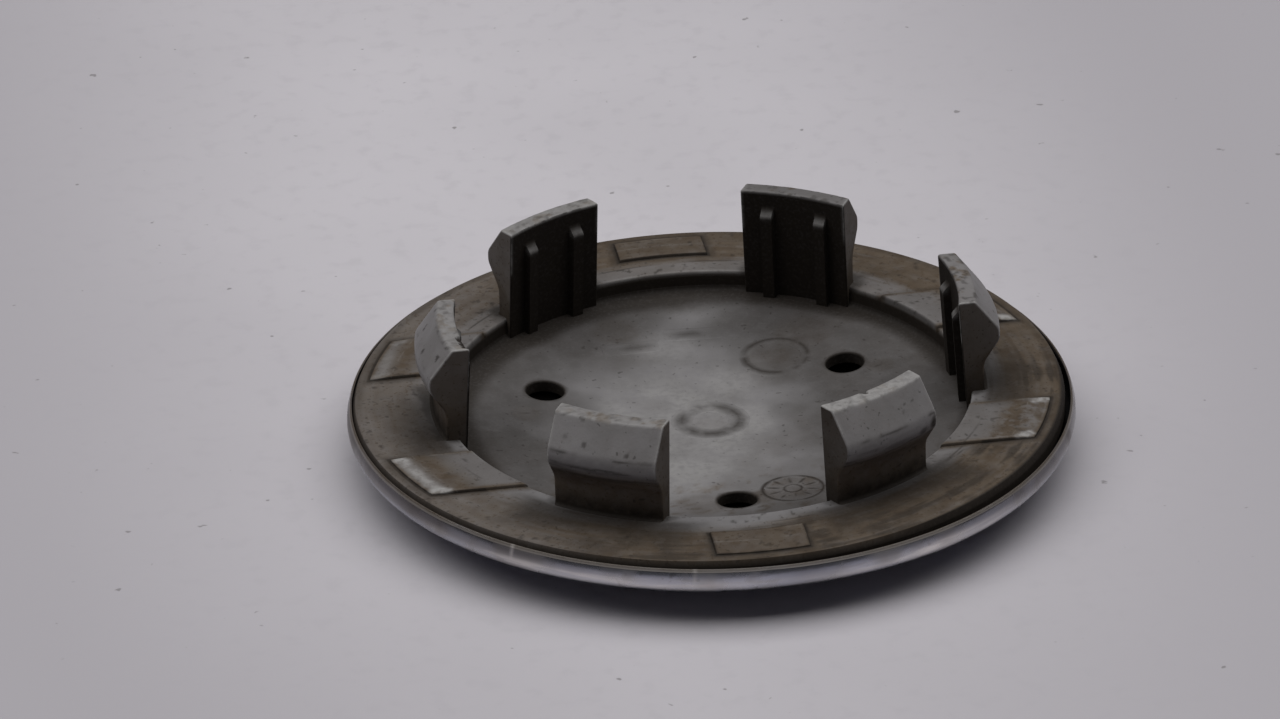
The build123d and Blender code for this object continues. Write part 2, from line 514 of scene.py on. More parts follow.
        # The first mask holds the painted reflections and highlights, the second the painted shade with
        # dullness and brown dirt
        rubbed_and_glint, grime = self.wear(angle, points, outside)
        inside = np.zeros_like(radius)
        inside[np.argmax(rings[:, 1]) + self.lip_rows :] = 1.0
        count = rings.shape[0] * self.steps
        poles = np.array([[0.0, 0.0, section[0, 1]], [0.0, 0.0, section[-1, 1]]])
        first = np.arange(self.steps)
        last = first + count - self.steps
        return Surface(
            points=np.vstack([points.reshape(-1, 3), poles]),
            quads=grid_quads(rings.shape[0], self.steps, columns_close=True),
            triangles=np.vstack([fan(count, first[::-1]), fan(count + 1, last)]),
            masks={
                Mask.WEAR_AND_GLINT: np.append((nick + rubbed_and_glint).ravel(), [0.0, 0.0]),
                Mask.GRIME_AND_SHADE: np.append(grime.ravel(), [0.0, 0.0]),
                Mask.LINE: np.append(inside.ravel(), [0.0, 1.0]),
            },
        )


@dataclass
class Flange:
    """Ring of the body round the well, with its raised seat pads and the well's wall."""

    form: CapForm
    edge_chamfer: float = 0.25
    edge_drop: float = 0.5
    edge_round: float = 0.3
    pad_height: float = 0.25
    pad_end_height: float = 0.1
    pad_outer_radius: float = 29.1
    pad_ramp_radius: float = 27.3
    pad_wall: float = 0.03
    pad_bevel: float = 0.1
    side_pad_low: float = 7.3
    side_pad_high: float = 14.1
    end_pad_half: float = 3.9
    end_pad_inner_radius: float = 25.5
    wall_foot: float = 3.3
    grid_radius: float = 26.0
    step: float = 0.17
    scratch_width: float = 0.1
    # Both ends of each scratch
    scratches: Table = (
        (15.75, -18.29, 19.36, -14.89),
        (-3.2, -25.0, 4.6, -25.1),
        (6.2, -23.9, 9.4, -23.2),
    )
    # Place, reach and strength of each stain
    stains: Table = (
        (-13.2, -24.9, 3.4, 0.75),
        (-4.5, -28.2, 2.4, 0.35),
        (-10.8, -24.0, 2.8, 1.0),
        (11.8, -26.1, 2.8, 0.5),
        (14.9, -24.4, 2.4, 0.4),
        (17.6, -17.4, 2.6, 0.3),
        (-20.5, -15.8, 2.0, 0.3),
        (5.4, -28.6, 2.2, 0.3),
    )

    @property
    def side_pad_middle(self) -> float:
        """Distance of a side pad's middle line from the plane through the first and fourth clips."""
        return (self.side_pad_low + self.side_pad_high) / 2

    @property
    def side_pad_half(self) -> float:
        """Half of a side pad's width."""
        return (self.side_pad_high - self.side_pad_low) / 2

    def edge_lines(self) -> tuple[Array, Array, Array]:
        """Straight sides of the pads, each as three lines close together.

        Returns:
            Offset of each line from the middle of its quadrant's axis, the quadrant's start angle with the
            sense in which the offset turns, and how far the pad has risen there (side pads, end pads).
        """
        marks = ((self.pad_wall, 0.0), (-self.pad_wall, 0.8), (-self.pad_bevel, 1.0))
        offsets: list[float] = []
        axes: list[tuple[float, float]] = []
        rises: list[tuple[float, float]] = []
        for base, sense in ((0.0, 1.0), (math.pi, -1.0), (math.pi, 1.0), (2 * math.pi, -1.0)):
            for side, outward in ((self.side_pad_low, -1.0), (self.side_pad_high, 1.0)):
                for shift, rise in marks:
                    offsets.append(side + outward * shift)
                    axes.append((base, sense))
                    rises.append((rise, 0.0))
        for base in (math.pi / 2, 3 * math.pi / 2):
            for sense in (-1.0, 1.0):
                for shift, rise in marks:
                    offsets.append(self.end_pad_half + shift)
                    axes.append((base, sense))
                    rises.append((0.0, rise))
        return np.array(offsets), np.array(axes), np.array(rises)

    def columns(self, radius: Array) -> tuple[Array, Array]:
        """Angles of the grid's columns at each radius, drawn along the sides of the pads.

        A side line at an offset from its axis has the angle whose sine is the offset over the radius, and
        the columns between two lines share the angle between them evenly.

        Args:
            radius: Radius of each row.

        Returns:
            Angles by row and column, and the rise of the side pads and end pads in each column.
        """
        offsets, axes, rises = self.edge_lines()
        held = np.clip(radius, self.form.well_radius, self.pad_outer_radius)
        lines = axes[:, 0] + axes[:, 1] * np.arcsin(offsets / held[:, None])
        order = np.argsort(lines[0])
        lines = lines[:, order]
        rises = rises[order]
        lines = np.hstack([lines, lines[:, :1] + 2 * math.pi])
        rises = np.vstack([rises, rises[:1]])
        middle = lines[np.argmin(np.abs(held - self.grid_radius))] * self.grid_radius
        places = stations(middle, self.step)[:-1]
        lower = np.clip(np.searchsorted(middle, places, side="right") - 1, 0, len(middle) - 2)
        share = (places - middle[lower]) / (middle[lower + 1] - middle[lower])
        angles = lines[:, lower] * (1 - share) + lines[:, lower + 1] * share
        return angles, rises[lower] * (1 - share)[:, None] + rises[lower + 1] * share[:, None]

    def profile(self) -> tuple[Array, Array]:
        """Closed section of the ring.

        Returns:
            Radii and heights, from the foot of the well's wall up, out over the flange, round its edge and
            back along the underside, and for each row whether the pads lift it.
        """
        form = self.form
        top = form.flange_top
        wall = np.linspace(self.wall_foot, top - self.edge_round, 8)
        edge = rounded_path(
            [
                (float(form.wall_radius(top - self.edge_round)), top - self.edge_round),
                (form.well_radius, top),
                (form.well_radius + self.edge_round, top),
            ],
            [0.0, self.edge_round * 0.9, 0.0],
            5,
        )[1:]
        knots = np.array(
            [
                edge[-1, 0],
                self.end_pad_inner_radius - self.pad_wall,
                self.end_pad_inner_radius + self.pad_wall,
                self.end_pad_inner_radius + self.pad_bevel,
                self.pad_ramp_radius - 0.1,
                self.pad_ramp_radius,
                self.pad_ramp_radius + 0.1,
                self.pad_outer_radius - self.pad_bevel,
                self.pad_outer_radius - self.pad_wall,
                self.pad_outer_radius + self.pad_wall,
                form.flange_radius - self.edge_chamfer - 0.06,
            ]
        )
        flat = stations(knots, self.step)[1:]
        seat_sphere = form.dome_radius - form.seat_depth
        seat = math.sqrt(seat_sphere**2 - (form.dome_radius - form.flange_bottom) ** 2)
        rim = np.array(
            [
                [form.flange_radius - self.edge_chamfer, top - 0.015],
                [form.flange_radius - 0.015, top - self.edge_drop],
                [form.flange_radius, top - self.edge_drop - 0.06],
                [form.flange_radius, form.flange_bottom],
                [seat, form.flange_bottom],
            ]
        )
        under = np.linspace(seat, float(form.wall_radius(self.wall_foot)), 5)[1:]
        rows = np.vstack(
            [
                np.column_stack([form.wall_radius(wall), wall]),
                edge,
                np.column_stack([flat, np.full_like(flat, top)]),
                rim,
                np.column_stack([under, form.shell(form.seat_depth, under)]),
            ]
        )
        lifted = np.zeros(len(rows))
        lifted[len(wall) : len(wall) + len(edge) + len(flat)] = 1.0
        return rows, lifted

    def pad_distance(self, x: Array, y: Array) -> Array:
        """Distance outside the outline of the nearest pad, below 0 on the pad itself."""
        radius = np.hypot(x, y)
        side = np.abs(np.abs(y) - self.side_pad_middle) - self.side_pad_half
        side = np.maximum(side, radius - self.pad_outer_radius)
        end_middle = (self.end_pad_inner_radius + self.pad_outer_radius) / 2
        end_half = (self.pad_outer_radius - self.end_pad_inner_radius) / 2
        end = np.maximum(np.abs(x) - self.end_pad_half, np.abs(radius - end_middle) - end_half)
        return np.minimum(side, end)

    def scratched(self, x: Array, y: Array) -> Array:
        """Dark scratches: a bell curve of the distance from each straight line between its two ends."""
        dark = np.zeros_like(x)
        for first_x, first_y, last_x, last_y in self.scratches:
            run_x, run_y = last_x - first_x, last_y - first_y
            share = ((x - first_x) * run_x + (y - first_y) * run_y) / (run_x**2 + run_y**2)
            share = np.clip(share, 0.0, 1.0)
            away = np.hypot(x - first_x - share * run_x, y - first_y - share * run_y)
            dark = np.maximum(dark, 0.75 * ridge(away, 0.0, self.scratch_width))
        return dark

    def wear(self, points: Array) -> dict[Mask, Array]:
        """Brown film, dirt lines, rubbed places, painted shade and painted highlights of the flange.

        The film starts at a wandering radius and is drawn out along the ring. On the side pads it is a band
        before the ramp, and the two end pads are stained all over. Lines lie at the foot of the pads, and pad
        edges and the ramps' crease carry painted highlights. Painted shade lies over the well's wall, painted
        shadow in the gap at the flange's edge and round the front end pad, and the flange is painted darker
        towards the front and in front of the front clips as a painted reflection of the dark clips.

        Args:
            points: Points of the ring about the body's axis.

        Returns:
            The masks.
        """
        x, y, z = points[..., 0], points[..., 1], points[..., 2]
        radius = np.hypot(x, y)
        angle = np.arctan2(y, x)
        around = np.stack([radius * 2.4, np.cos(angle) * 3.5, np.sin(angle) * 3.5], axis=-1)
        streak = speckle(around, 1.0, 11)
        cloud = speckle(points, 4.0, 12)
        fine = speckle(points, 0.6, 13)
        distance = self.pad_distance(x, y)
        on_pad = eased(-distance, -0.02, 0.06)
        end_pad = np.abs(x) < self.side_pad_low
        front = eased(-y, -6.0, 4.0)
        start = eased(radius + 1.8 * (cloud - 0.5) + 1.6 * (streak - 0.5), 23.2, 25.8)
        left = eased(-x, 8.0, 22.0)
        film_and_shade = start * (0.72 + 0.5 * streak) * (1 - 0.32 * left)
        film_and_shade = np.maximum(film_and_shade, 0.36 * (1 - front))
        grains = 0.5 * fine + 0.5 * speckle(points, 0.4, 17)
        rusty = np.where(x > 0.0, 0.55 + 0.75 * eased(grains, 0.35, 0.6), 0.75 + 0.4 * fine)
        side_film = 0.2 + 0.8 * ridge(radius + 1.2 * (cloud - 0.5), 26.7, 1.3) * rusty
        side_film = np.maximum(side_film, np.where(x > 0.0, 0.75 * rusty, 0.45) * eased(radius, 26.6, 27.4))
        grime = film_and_shade * (1 - on_pad) + np.where(end_pad, 0.8 + 0.25 * streak, side_film) * on_pad
        near_pad = ridge(distance, 0.0, 0.5) * (0.7 + 0.6 * fine)
        grime = np.maximum(grime, near_pad)
        grime = np.where(z < self.form.flange_top - 0.3, 0.75, grime)
        # Painted shade over the well's wall, with some dirt
        wall = 0.97 * (radius < self.form.well_radius) * eased(self.form.flange_top - z, 0.12, 0.6)
        foot = eased(distance, -0.095, -0.035) * (0.8 + 0.3 * fine)
        halo = 0.55 * eased(distance + 0.5 * (fine - 0.5), 1.2, 0.3)
        foot = foot * np.maximum(eased(distance, 0.5, 0.12), halo)
        foot = np.where(radius < 25.2, 0.65 * foot, foot)
        # Dark outline round the front end pad: painted shadow line and dirt
        outline = 0.7 * end_pad * front * ridge(distance + 0.3 * (fine - 0.5), 0.05, 0.22)
        foot = np.maximum(foot, outline)
        groove = 0.7 * ridge(radius, 24.25 + 0.25 * np.sin(2 * angle), 0.06) * eased(cloud, 0.42, 0.55)
        drawn = 0.55 * speckle(around, 1.0, 15) + 0.45 * speckle(points, 2.6, 16)
        # Dirt drawn in streaks, painted darker towards the front as a painted reflection of the dark clips,
        # and a little darker over the pads
        shade = start * (0.04 + 0.42 * eased(drawn, 0.45, 0.62)) * (0.5 + front) * (1 - on_pad)
        shade = np.maximum(shade * (1 - 0.8 * left), 0.22 * on_pad)
        edge_radius = self.form.flange_radius
        # Dirt towards the edge, then painted shadow of the gap between flange and rim laid on the edge's
        # chamfer and wall
        rim_dirt_and_gap_shade = 0.4 * eased(radius, 28.9, 29.9) * (0.4 + streak) * (1 - 0.75 * front)
        gap_shade_start = edge_radius - 0.38 - 0.2 * eased(x, 8.0, 22.0)
        rim_dirt_and_gap_shade = np.maximum(rim_dirt_and_gap_shade, 0.98 * front * eased(radius - gap_shade_start, 0.0, 0.24))
        rim_dirt_and_gap_shade = np.maximum(rim_dirt_and_gap_shade, (z < self.form.flange_top - 0.15) * (radius > 29.0))
        folded = np.mod(angle + math.pi / self.form.clip_count, 2 * math.pi / self.form.clip_count)
        folded = folded - math.pi / self.form.clip_count
        to_clip = np.maximum(np.abs(radius * np.sin(folded)) - 4.8, radius * np.cos(folded) - 23.9)
        ragged = to_clip + 0.9 * (fine - 0.5) + 0.9 * (cloud - 0.5)
        # Dirt round the feet of the clips, and painted shade reaching out in front of the front clips as a
        # painted reflection
        clip_dirt_and_shade = 0.85 * eased(ragged, 1.3, 0.0) * (0.55 + 0.7 * cloud)
        clip_dirt_and_shade = np.maximum(clip_dirt_and_shade, 0.78 * front * eased(ragged, 5.2, 0.8) * eased(radius, 23.0, 24.0))
        stain = np.zeros_like(radius)
        for stain_x, stain_y, reach, strength in self.stains:
            away = np.hypot(x - stain_x, y - stain_y) + 1.6 * (cloud - 0.5)
            stain = np.maximum(stain, strength * ridge(away, 0.0, reach) * (0.6 + 0.7 * fine))
        ramp = eased(radius, self.pad_ramp_radius, self.pad_ramp_radius + 0.6) * on_pad
        white = np.where(end_pad, 0.06, np.where(x < 0.0, np.where(y < 0.0, 0.75, 0.25), 0.05))
        rubbed_and_glint = white * ridge(radius + 0.5 * (fine - 0.5), 28.25, 0.5) * ramp * eased(cloud, 0.3, 0.5)
        # Painted highlights just inside the pad edges and along the crease where the ramp starts
        edge = 0.2 * ridge(distance, -0.25, 0.1) * on_pad * eased(cloud, 0.42, 0.65)
        fold = 0.15 * ridge(radius, self.pad_ramp_radius, 0.07) * on_pad * eased(fine, 0.4, 0.6)
        side = np.abs(np.abs(np.abs(y) - self.side_pad_middle) - self.side_pad_half)
        corner = np.hypot(side - 0.5, 0.7 * (radius - self.pad_outer_radius + 0.75)) + 0.7 * (fine - 0.5)
        tip = 0.95 * eased(corner, 0.75, 0.3) * on_pad * (1 - end_pad)
        tip = tip * np.where((x < 0.0) & (y > 0.0), 0.3, 1.0)
        spots = 0.6 * eased(speckle(points, 0.55, 14), 0.66, 0.75)
        lip = 0.4 * ridge(radius, self.form.well_radius + 0.05, 0.14) * eased(cloud, 0.4, 0.65)
        lip = lip * (z > self.form.flange_top - 0.3)
        return {
            Mask.GRIME_AND_SHADE: np.maximum(grime, stain),
            Mask.LINE: np.maximum.reduce(
                [foot, wall, groove, self.scratched(x, y), rim_dirt_and_gap_shade, clip_dirt_and_shade, shade, 0.8 * stain, spots]
            ),
            Mask.WEAR_AND_GLINT: np.maximum.reduce([rubbed_and_glint, edge, fold, tip, lip]),
        }

    def surface(self) -> Surface:
        """The closed section carried round the ring, with the pads lifted out of its upper side.

        Returns:
            The surface. A pad's lift is its height times the rise of the column times the rise of the row,
            and the row's rise falls in a straight ramp near the outer end.
        """
        rows, lifted = self.profile()
        radius, height = rows[:, 0], rows[:, 1]
        angles, rises = self.columns(radius)
        low_share = self.pad_end_height / self.pad_height
        outer = [
            self.pad_ramp_radius,
            self.pad_outer_radius - self.pad_wall,
            self.pad_outer_radius + self.pad_wall,
        ]
        inner = [
            self.end_pad_inner_radius - self.pad_wall,
            self.end_pad_inner_radius + self.pad_wall,
            self.end_pad_inner_radius + self.pad_bevel,
        ]
        side_rise = np.interp(radius, outer, [1.0, low_share, 0.0])
        end_rise = np.interp(radius, inner + outer, [0.0, 0.8, 1.0, 1.0, low_share, 0.0])
        lift = side_rise[:, None] * rises[:, 0] + end_rise[:, None] * rises[:, 1]
        z = height[:, None] + self.pad_height * lift * lifted[:, None]
        points = np.stack([radius[:, None] * np.cos(angles), radius[:, None] * np.sin(angles), z], axis=-1)
        flat = points.reshape(-1, 3)
        quads = grid_quads(len(rows), angles.shape[1], rows_close=True, columns_close=True)
        return Surface(self.form.placed(flat), quads[:, ::-1], masks=self.wear(flat))


@dataclass
class WellFloor:
    """Dished floor of the well, with three holes through it."""

    form: CapForm
    hole_circle: float = 15.1
    hole_radius: float = 1.65
    hole_edge: float = 0.15
    hole_count: int = 3
    hole_start_deg: float = 30.0
    corner_round: float = 0.5
    row_step: float = 0.4
    column_count: int = 240
    patch_half: int = 6
    patch_rings: tuple[float, ...] = (0.35, 0.7, 1.0)
    edge_turns: tuple[float, ...] = (0.35, 0.7, 1.0)
    floor_reach: float = 21.55
    corner_height: float = 3.9
    sheen_place: tuple[float, float] = (-2.0, -2.0)
    sheen_reach: tuple[float, float] = (9.5, 14.0)
    # Place, reach and strength of each patch of painted sheen, and then of each smudge
    sheen_patches: Table = (
        (-1.9, 13.4, 2.6, 0.34),
        (2.4, 6.6, 2.8, 0.5),
        (1.6, 18.6, 2.4, 0.1),
        (-0.5, -8.0, 3.0, 0.3),
    )
    smudges: Table = (
        (4.87, -14.1, 2.9, 0.3),
        (2.2, -15.0, 1.8, 0.5),
        (7.5, 10.3, 3.2, 0.2),
        (7.5, 10.3, 1.9, 0.34),
        (10.6, 13.6, 3.4, 0.3),
        (-5.6, 16.9, 2.8, 0.28),
        (15.9, 6.1, 1.6, 0.3),
        (-15.2, 3.6, 1.6, 0.2),
        (-13.4, -9.2, 1.8, 0.35),
        (-3.0, -15.6, 2.6, 0.25),
    )

    def hole_centres(self) -> Array:
        """Centres of the holes, evenly round their circle."""
        turn = math.radians(self.hole_start_deg) + 2 * math.pi * np.arange(self.hole_count) / self.hole_count
        return self.hole_circle * ring_points(turn)

    def plan(self) -> tuple[Array, Array, Array, list[Array], Array]:
        """Seen from above: a polar grid with a ring of cells in place of a block round each hole.

        The ring runs from the block's border to the hole's circle, along straight lines towards the hole's
        centre.

        Returns:
            Points in two columns, cells, the fan at the centre, the loop of each hole and the outer loop.
        """
        steps = self.column_count
        inner = int(self.hole_circle / self.row_step)
        outer = int((self.floor_reach - self.hole_circle) / self.row_step)
        radii = self.hole_circle + self.row_step * np.arange(-inner, outer + 1)
        radii = np.concatenate([radii, self.corner_rows()[:, 0]])
        angle = np.linspace(0.0, 2 * math.pi, steps, endpoint=False)
        grid = (radii[:, None, None] * ring_points(angle)).reshape(-1, 2)
        cells = grid_quads(len(radii), steps, columns_close=True)
        row_of, column_of = np.divmod(cells[:, 0], steps)
        keep = np.ones(len(cells), bool)
        points = [grid, np.zeros((1, 2))]
        patches: list[Array] = []
        loops: list[Array] = []
        half = self.patch_half
        for centre in self.hole_centres():
            column = round(math.atan2(centre[1], centre[0]) / (2 * math.pi) * steps)
            near = (row_of >= inner - half) & (row_of < inner + half)
            keep &= ~(near & ((column_of - column + half) % steps < 2 * half))
            run = np.arange(-half, half)
            side = np.full(2 * half, half)
            ring_rows = np.concatenate([-side, run, side, -run]) + inner
            ring_columns = np.concatenate([run, side, -run, -side]) + column
            border = ring_rows * steps + ring_columns % steps
            spoke = grid[border] - centre
            reach = np.linalg.norm(spoke, axis=1, keepdims=True)
            before = border
            total = sum(len(block) for block in points)
            edge = self.hole_radius + self.hole_edge
            lengths = [reach + (edge - reach) * share for share in self.patch_rings]
            lengths += [
                self.hole_radius + self.hole_edge * (1 - math.sin(turn * math.pi / 2))
                for turn in self.edge_turns
            ]
            for length in lengths:
                points.append(centre + spoke / reach * length)
                after = np.arange(total, total + len(border))
                patches.append(band(before, after))
                before = after
                total += len(border)
            loops.append(before)
        first = np.arange(steps)
        rim = first + (len(radii) - 1) * steps
        return np.vstack(points), np.vstack([cells[keep]] + patches), fan(len(grid), first), loops, rim

    def corner_rows(self) -> Array:
        """Section of the rounded corner between the floor and the wall, ending just inside the wall."""
        turn = np.linspace(math.radians(9.0), math.radians(87.0), 9)
        centre = float(self.form.wall_radius(self.corner_height)) - self.corner_round
        base = float(self.form.shell(self.form.floor_depth, centre)) + self.corner_round
        across = centre + self.corner_round * np.sin(turn)
        arc = np.column_stack([across, base - self.corner_round * np.cos(turn)])
        return np.vstack([arc, [arc[-1, 0] + 0.08, arc[-1, 1] + 0.1]])

    def wear(self, points: Array) -> dict[Mask, Array]:
        """Dirt and smudges on the floor, a painted sheen with the floor painted darker away from it,
        darkening towards the wall that is partly painted shade and partly dirt, and painted shade down the
        holes with a dark ring round each.

        Args:
            points: Points of the floor about the body's axis.

        Returns:
            The masks.
        """
        x, y = points[:, 0], points[:, 1]
        radius = np.hypot(x, y)
        cloud = speckle(points, 4.0, 21)
        fine = speckle(points, 0.9, 22)
        # Darker towards the wall: painted shade of the wall and clips, with dirt
        corner = 0.96 * eased(radius + 1.2 * (cloud - 0.5) + 0.03 * (y - x), 18.0, 21.6)
        # Painted sheen: the floor is painted darker away from the sheen's place
        aside = (points[:, :2] - self.sheen_place) / self.sheen_reach
        off = np.hypot(aside[:, 0], aside[:, 1])
        film_and_shade = 0.64 * eased(off + 0.7 * (cloud - 0.5), 0.6, 1.5) * (0.85 + 0.3 * fine)
        gap = np.linalg.norm(points[:, None, :2] - self.hole_centres(), axis=2).min(axis=1) - self.hole_radius
        # Painted shade down the walls of the holes, and a dark ring round each hole
        bore = eased(points[:, 2] - self.form.shell(self.form.floor_depth, radius), -0.1, -0.4)
        hole_ring_and_shade = np.maximum(0.97 * eased(gap, 0.4, 0.06), bore)
        grime = 0.12 * eased(cloud, 0.45, 0.75) + 0.25 * eased(radius, 16.0, 22.0) * fine
        grime = np.maximum(grime, 0.6 * eased(fine, 0.58, 0.7) * eased(-y, 8.0, 13.0))
        # Painted sheen: paler round the sheen's place and at each sheen patch, which also lightens the
        # darkening round it
        worn = (0.28 + 0.3 * eased(cloud, 0.55, 0.3)) * eased(off + 0.5 * (cloud - 0.5), 1.0, 0.35)
        for place_x, place_y, reach, strength in self.sheen_patches:
            away = np.hypot(x - place_x, y - place_y) + 1.6 * (cloud - 0.5)
            pale = ridge(away, 0.0, reach)
            worn = np.maximum(worn, strength * pale * (0.8 + 0.4 * fine))
            film_and_shade = film_and_shade * (1 - 0.9 * pale)
        smudge = np.zeros_like(radius)
        for place_x, place_y, reach, strength in self.smudges:
            away = np.hypot(x - place_x, y - place_y) + 0.6 * (cloud - 0.5)
            smudge = np.maximum(smudge, strength * eased(away, reach, 0.6 * reach) * (0.5 + fine))
        return {
            Mask.GRIME_AND_SHADE: np.maximum(grime, smudge),
            Mask.LINE: np.maximum.reduce([corner, film_and_shade, hole_ring_and_shade, smudge]),
            Mask.WEAR_AND_GLINT: worn * (1 - smudge) * (1 - hole_ring_and_shade),
        }

    def surface(self) -> Surface:
        """The plan raised to the floor and, turned over, to the underside, joined at holes and rim.

        Returns:
            The closed surface. Near a hole the floor falls along a quarter circle into the hole.
        """
        plan, cells, centre_fan, loops, rim = self.plan()
        form = self.form
        radius = np.hypot(plan[:, 0], plan[:, 1])
        corner = self.corner_rows()
        top = form.shell(form.floor_depth, radius)
        top = np.where(radius > corner[0, 0], np.interp(radius, corner[:, 0], corner[:, 1]), top)
        gap = np.linalg.norm(plan[:, None] - self.hole_centres(), axis=2).min(axis=1) - self.hole_radius
        inward = np.clip(self.hole_edge - gap, 0.0, self.hole_edge)
        top = top - (self.hole_edge - np.sqrt(self.hole_edge**2 - inward**2))
        count = len(plan)
        under = form.shell(form.seat_depth, radius)
        upper = np.column_stack([plan, top])
        lower = np.column_stack([plan, under])
        walls = [band(loop, loop + count) for loop in loops]
        edge = band(rim + count, rim)
        points = np.vstack([upper, lower])
        return Surface(
            points=form.placed(points),
            quads=np.vstack([cells[:, ::-1], cells + count] + walls + [edge]),
            triangles=np.vstack([centre_fan, centre_fan[:, ::-1] + count]),
            masks=self.wear(points),
        )


@dataclass
class FloorMarks:
    """Low moulded marks on the well's floor: plain rings, a dial with divisions and plain bars."""

    form: CapForm
    floor: WellFloor
    sunk: float = 0.12
    # Place, radius, width, height and dirt of each ring
    rings: Table = (
        (0.2, 0.6, 2.45, 2.2, 0.06, 0.85),
        (7.5, 10.3, 2.75, 1.6, 0.05, 0.92),
        (4.87, -14.1, 2.55, 0.75, 0.06, 1.0),
        (4.87, -14.1, 0.75, 0.6, 0.06, 1.0),
    )
    # Place, length, width, turn in degrees, height and dirt of each bar
    bars: Table = (
        (-4.7, 13.9, 5.0, 2.2, 4.0, 0.03, 0.7),
        (1.0, 15.4, 5.0, 2.2, -4.0, 0.03, 0.75),
        (6.3, 16.6, 3.0, 1.8, -8.0, 0.03, 0.45),
        (-15.2, 3.6, 2.6, 1.2, 4.0, 0.03, 0.8),
        (15.9, 6.1, 2.2, 1.3, 24.0, 0.03, 0.95),
    )
    dial_place: tuple[float, float] = (4.87, -14.1)
    dial_divisions: int = 10
    dial_reach: tuple[float, float] = (0.85, 2.45)
    division_width: float = 0.65
    division_height: float = 0.06
    division_dirt: float = 1.0

    def ribbon(self, line: Array, width: float, height: float, dirt: float, closed: bool) -> Surface:
        """Low round-backed ribbon along a line on the floor.

        Across the line the ribbon stands on the floor's sphere by its height times the square of one less
        the square of the share of the half width, so that it runs out into the floor, and its underside
        lies sunk in the floor.

        Args:
            line: Points of the line, in two columns.
            width: Width of the ribbon.
            height: Height of its back.
            dirt: Strength of the dirt along its back.
            closed: Whether the line runs back to its start.

        Returns:
            The closed surface, with the floor's own wear and a smear of dirt along the ribbon's back.
        """
        if closed:
            run = np.roll(line, -1, axis=0) - np.roll(line, 1, axis=0)
        else:
            run = np.gradient(line, axis=0)
        run = run / np.linalg.norm(run, axis=1, keepdims=True)
        side = np.column_stack([run[:, 1], -run[:, 0]])
        share = np.array([-1.0, -0.85, -0.65, -0.4, 0.0, 0.4, 0.65, 0.85, 1.0, 0.0])
        back = (1.0 - share**2) ** 2
        lift = height * back
        lift[[0, -2, -1]] = -self.sunk
        plan = line[:, None] + side[:, None] * (share * width / 2)[:, None]
        floor = self.form.shell(self.form.floor_depth, np.linalg.norm(plan, axis=2))
        points = np.concatenate([plan, (floor + lift)[..., None]], axis=2)
        rows, columns = points.shape[:2]
        points = points.reshape(-1, 3)
        masks = self.floor.wear(points)
        fade = np.ones(rows) if closed else np.sin(np.linspace(0.15, math.pi - 0.15, rows)) ** 0.7
        smear = dirt * np.outer(fade, back).ravel() * eased(speckle(points, 1.6, 31), 0.12, 0.55)
        masks[Mask.LINE] = np.maximum(masks[Mask.LINE], smear)
        masks[Mask.WEAR_AND_GLINT] = masks[Mask.WEAR_AND_GLINT] * (1 - smear)
        quads = grid_quads(rows, columns, rows_close=closed, columns_close=True)
        ends = np.zeros((0, 3), int)
        if not closed:
            first = np.arange(columns)
            last = first + (rows - 1) * columns
            ends = np.vstack([fan(first[-1], first[:-1])[:-1, ::-1], fan(last[-1], last[:-1])[:-1]])
        return Surface(points, quads, ends, masks)

    def surface(self) -> Surface:
        """All of the marks as one surface, each ring on a circle and each bar on a straight line.

        Returns:
            The surface.
        """
        turn = np.linspace(0.0, 2 * math.pi, 96, endpoint=False)
        parts = [
            self.ribbon(np.array([x, y]) + radius * ring_points(turn), width, height, dirt, True)
            for x, y, radius, width, height, dirt in self.rings
        ]
        share = np.linspace(-0.5, 0.5, 13)[:, None]
        for x, y, length, width, tilt, height, dirt in self.bars:
            along = ring_points(np.radians([tilt]))
            parts.append(self.ribbon(np.array([x, y]) + length * share * along, width, height, dirt, False))
        near, far = self.dial_reach
        for spoke in ring_points(2 * math.pi * (np.arange(self.dial_divisions) + 0.5) / self.dial_divisions):
            line = np.array(self.dial_place) + np.linspace(near, far, 9)[:, None] * spoke
            parts.append(
                self.ribbon(line, self.division_width, self.division_height, self.division_dirt, False)
            )
        starts = np.concatenate([[0], np.cumsum([len(part.points) for part in parts])[:-1]])
        return Surface(
            points=self.form.placed(np.vstack([part.points for part in parts])),
            quads=np.vstack([part.quads + start for part, start in zip(parts, starts)]),
            triangles=np.vstack([part.triangles + start for part, start in zip(parts, starts)]),
            masks={mask: np.concatenate([part.masks[mask] for part in parts]) for mask in Mask},
        )


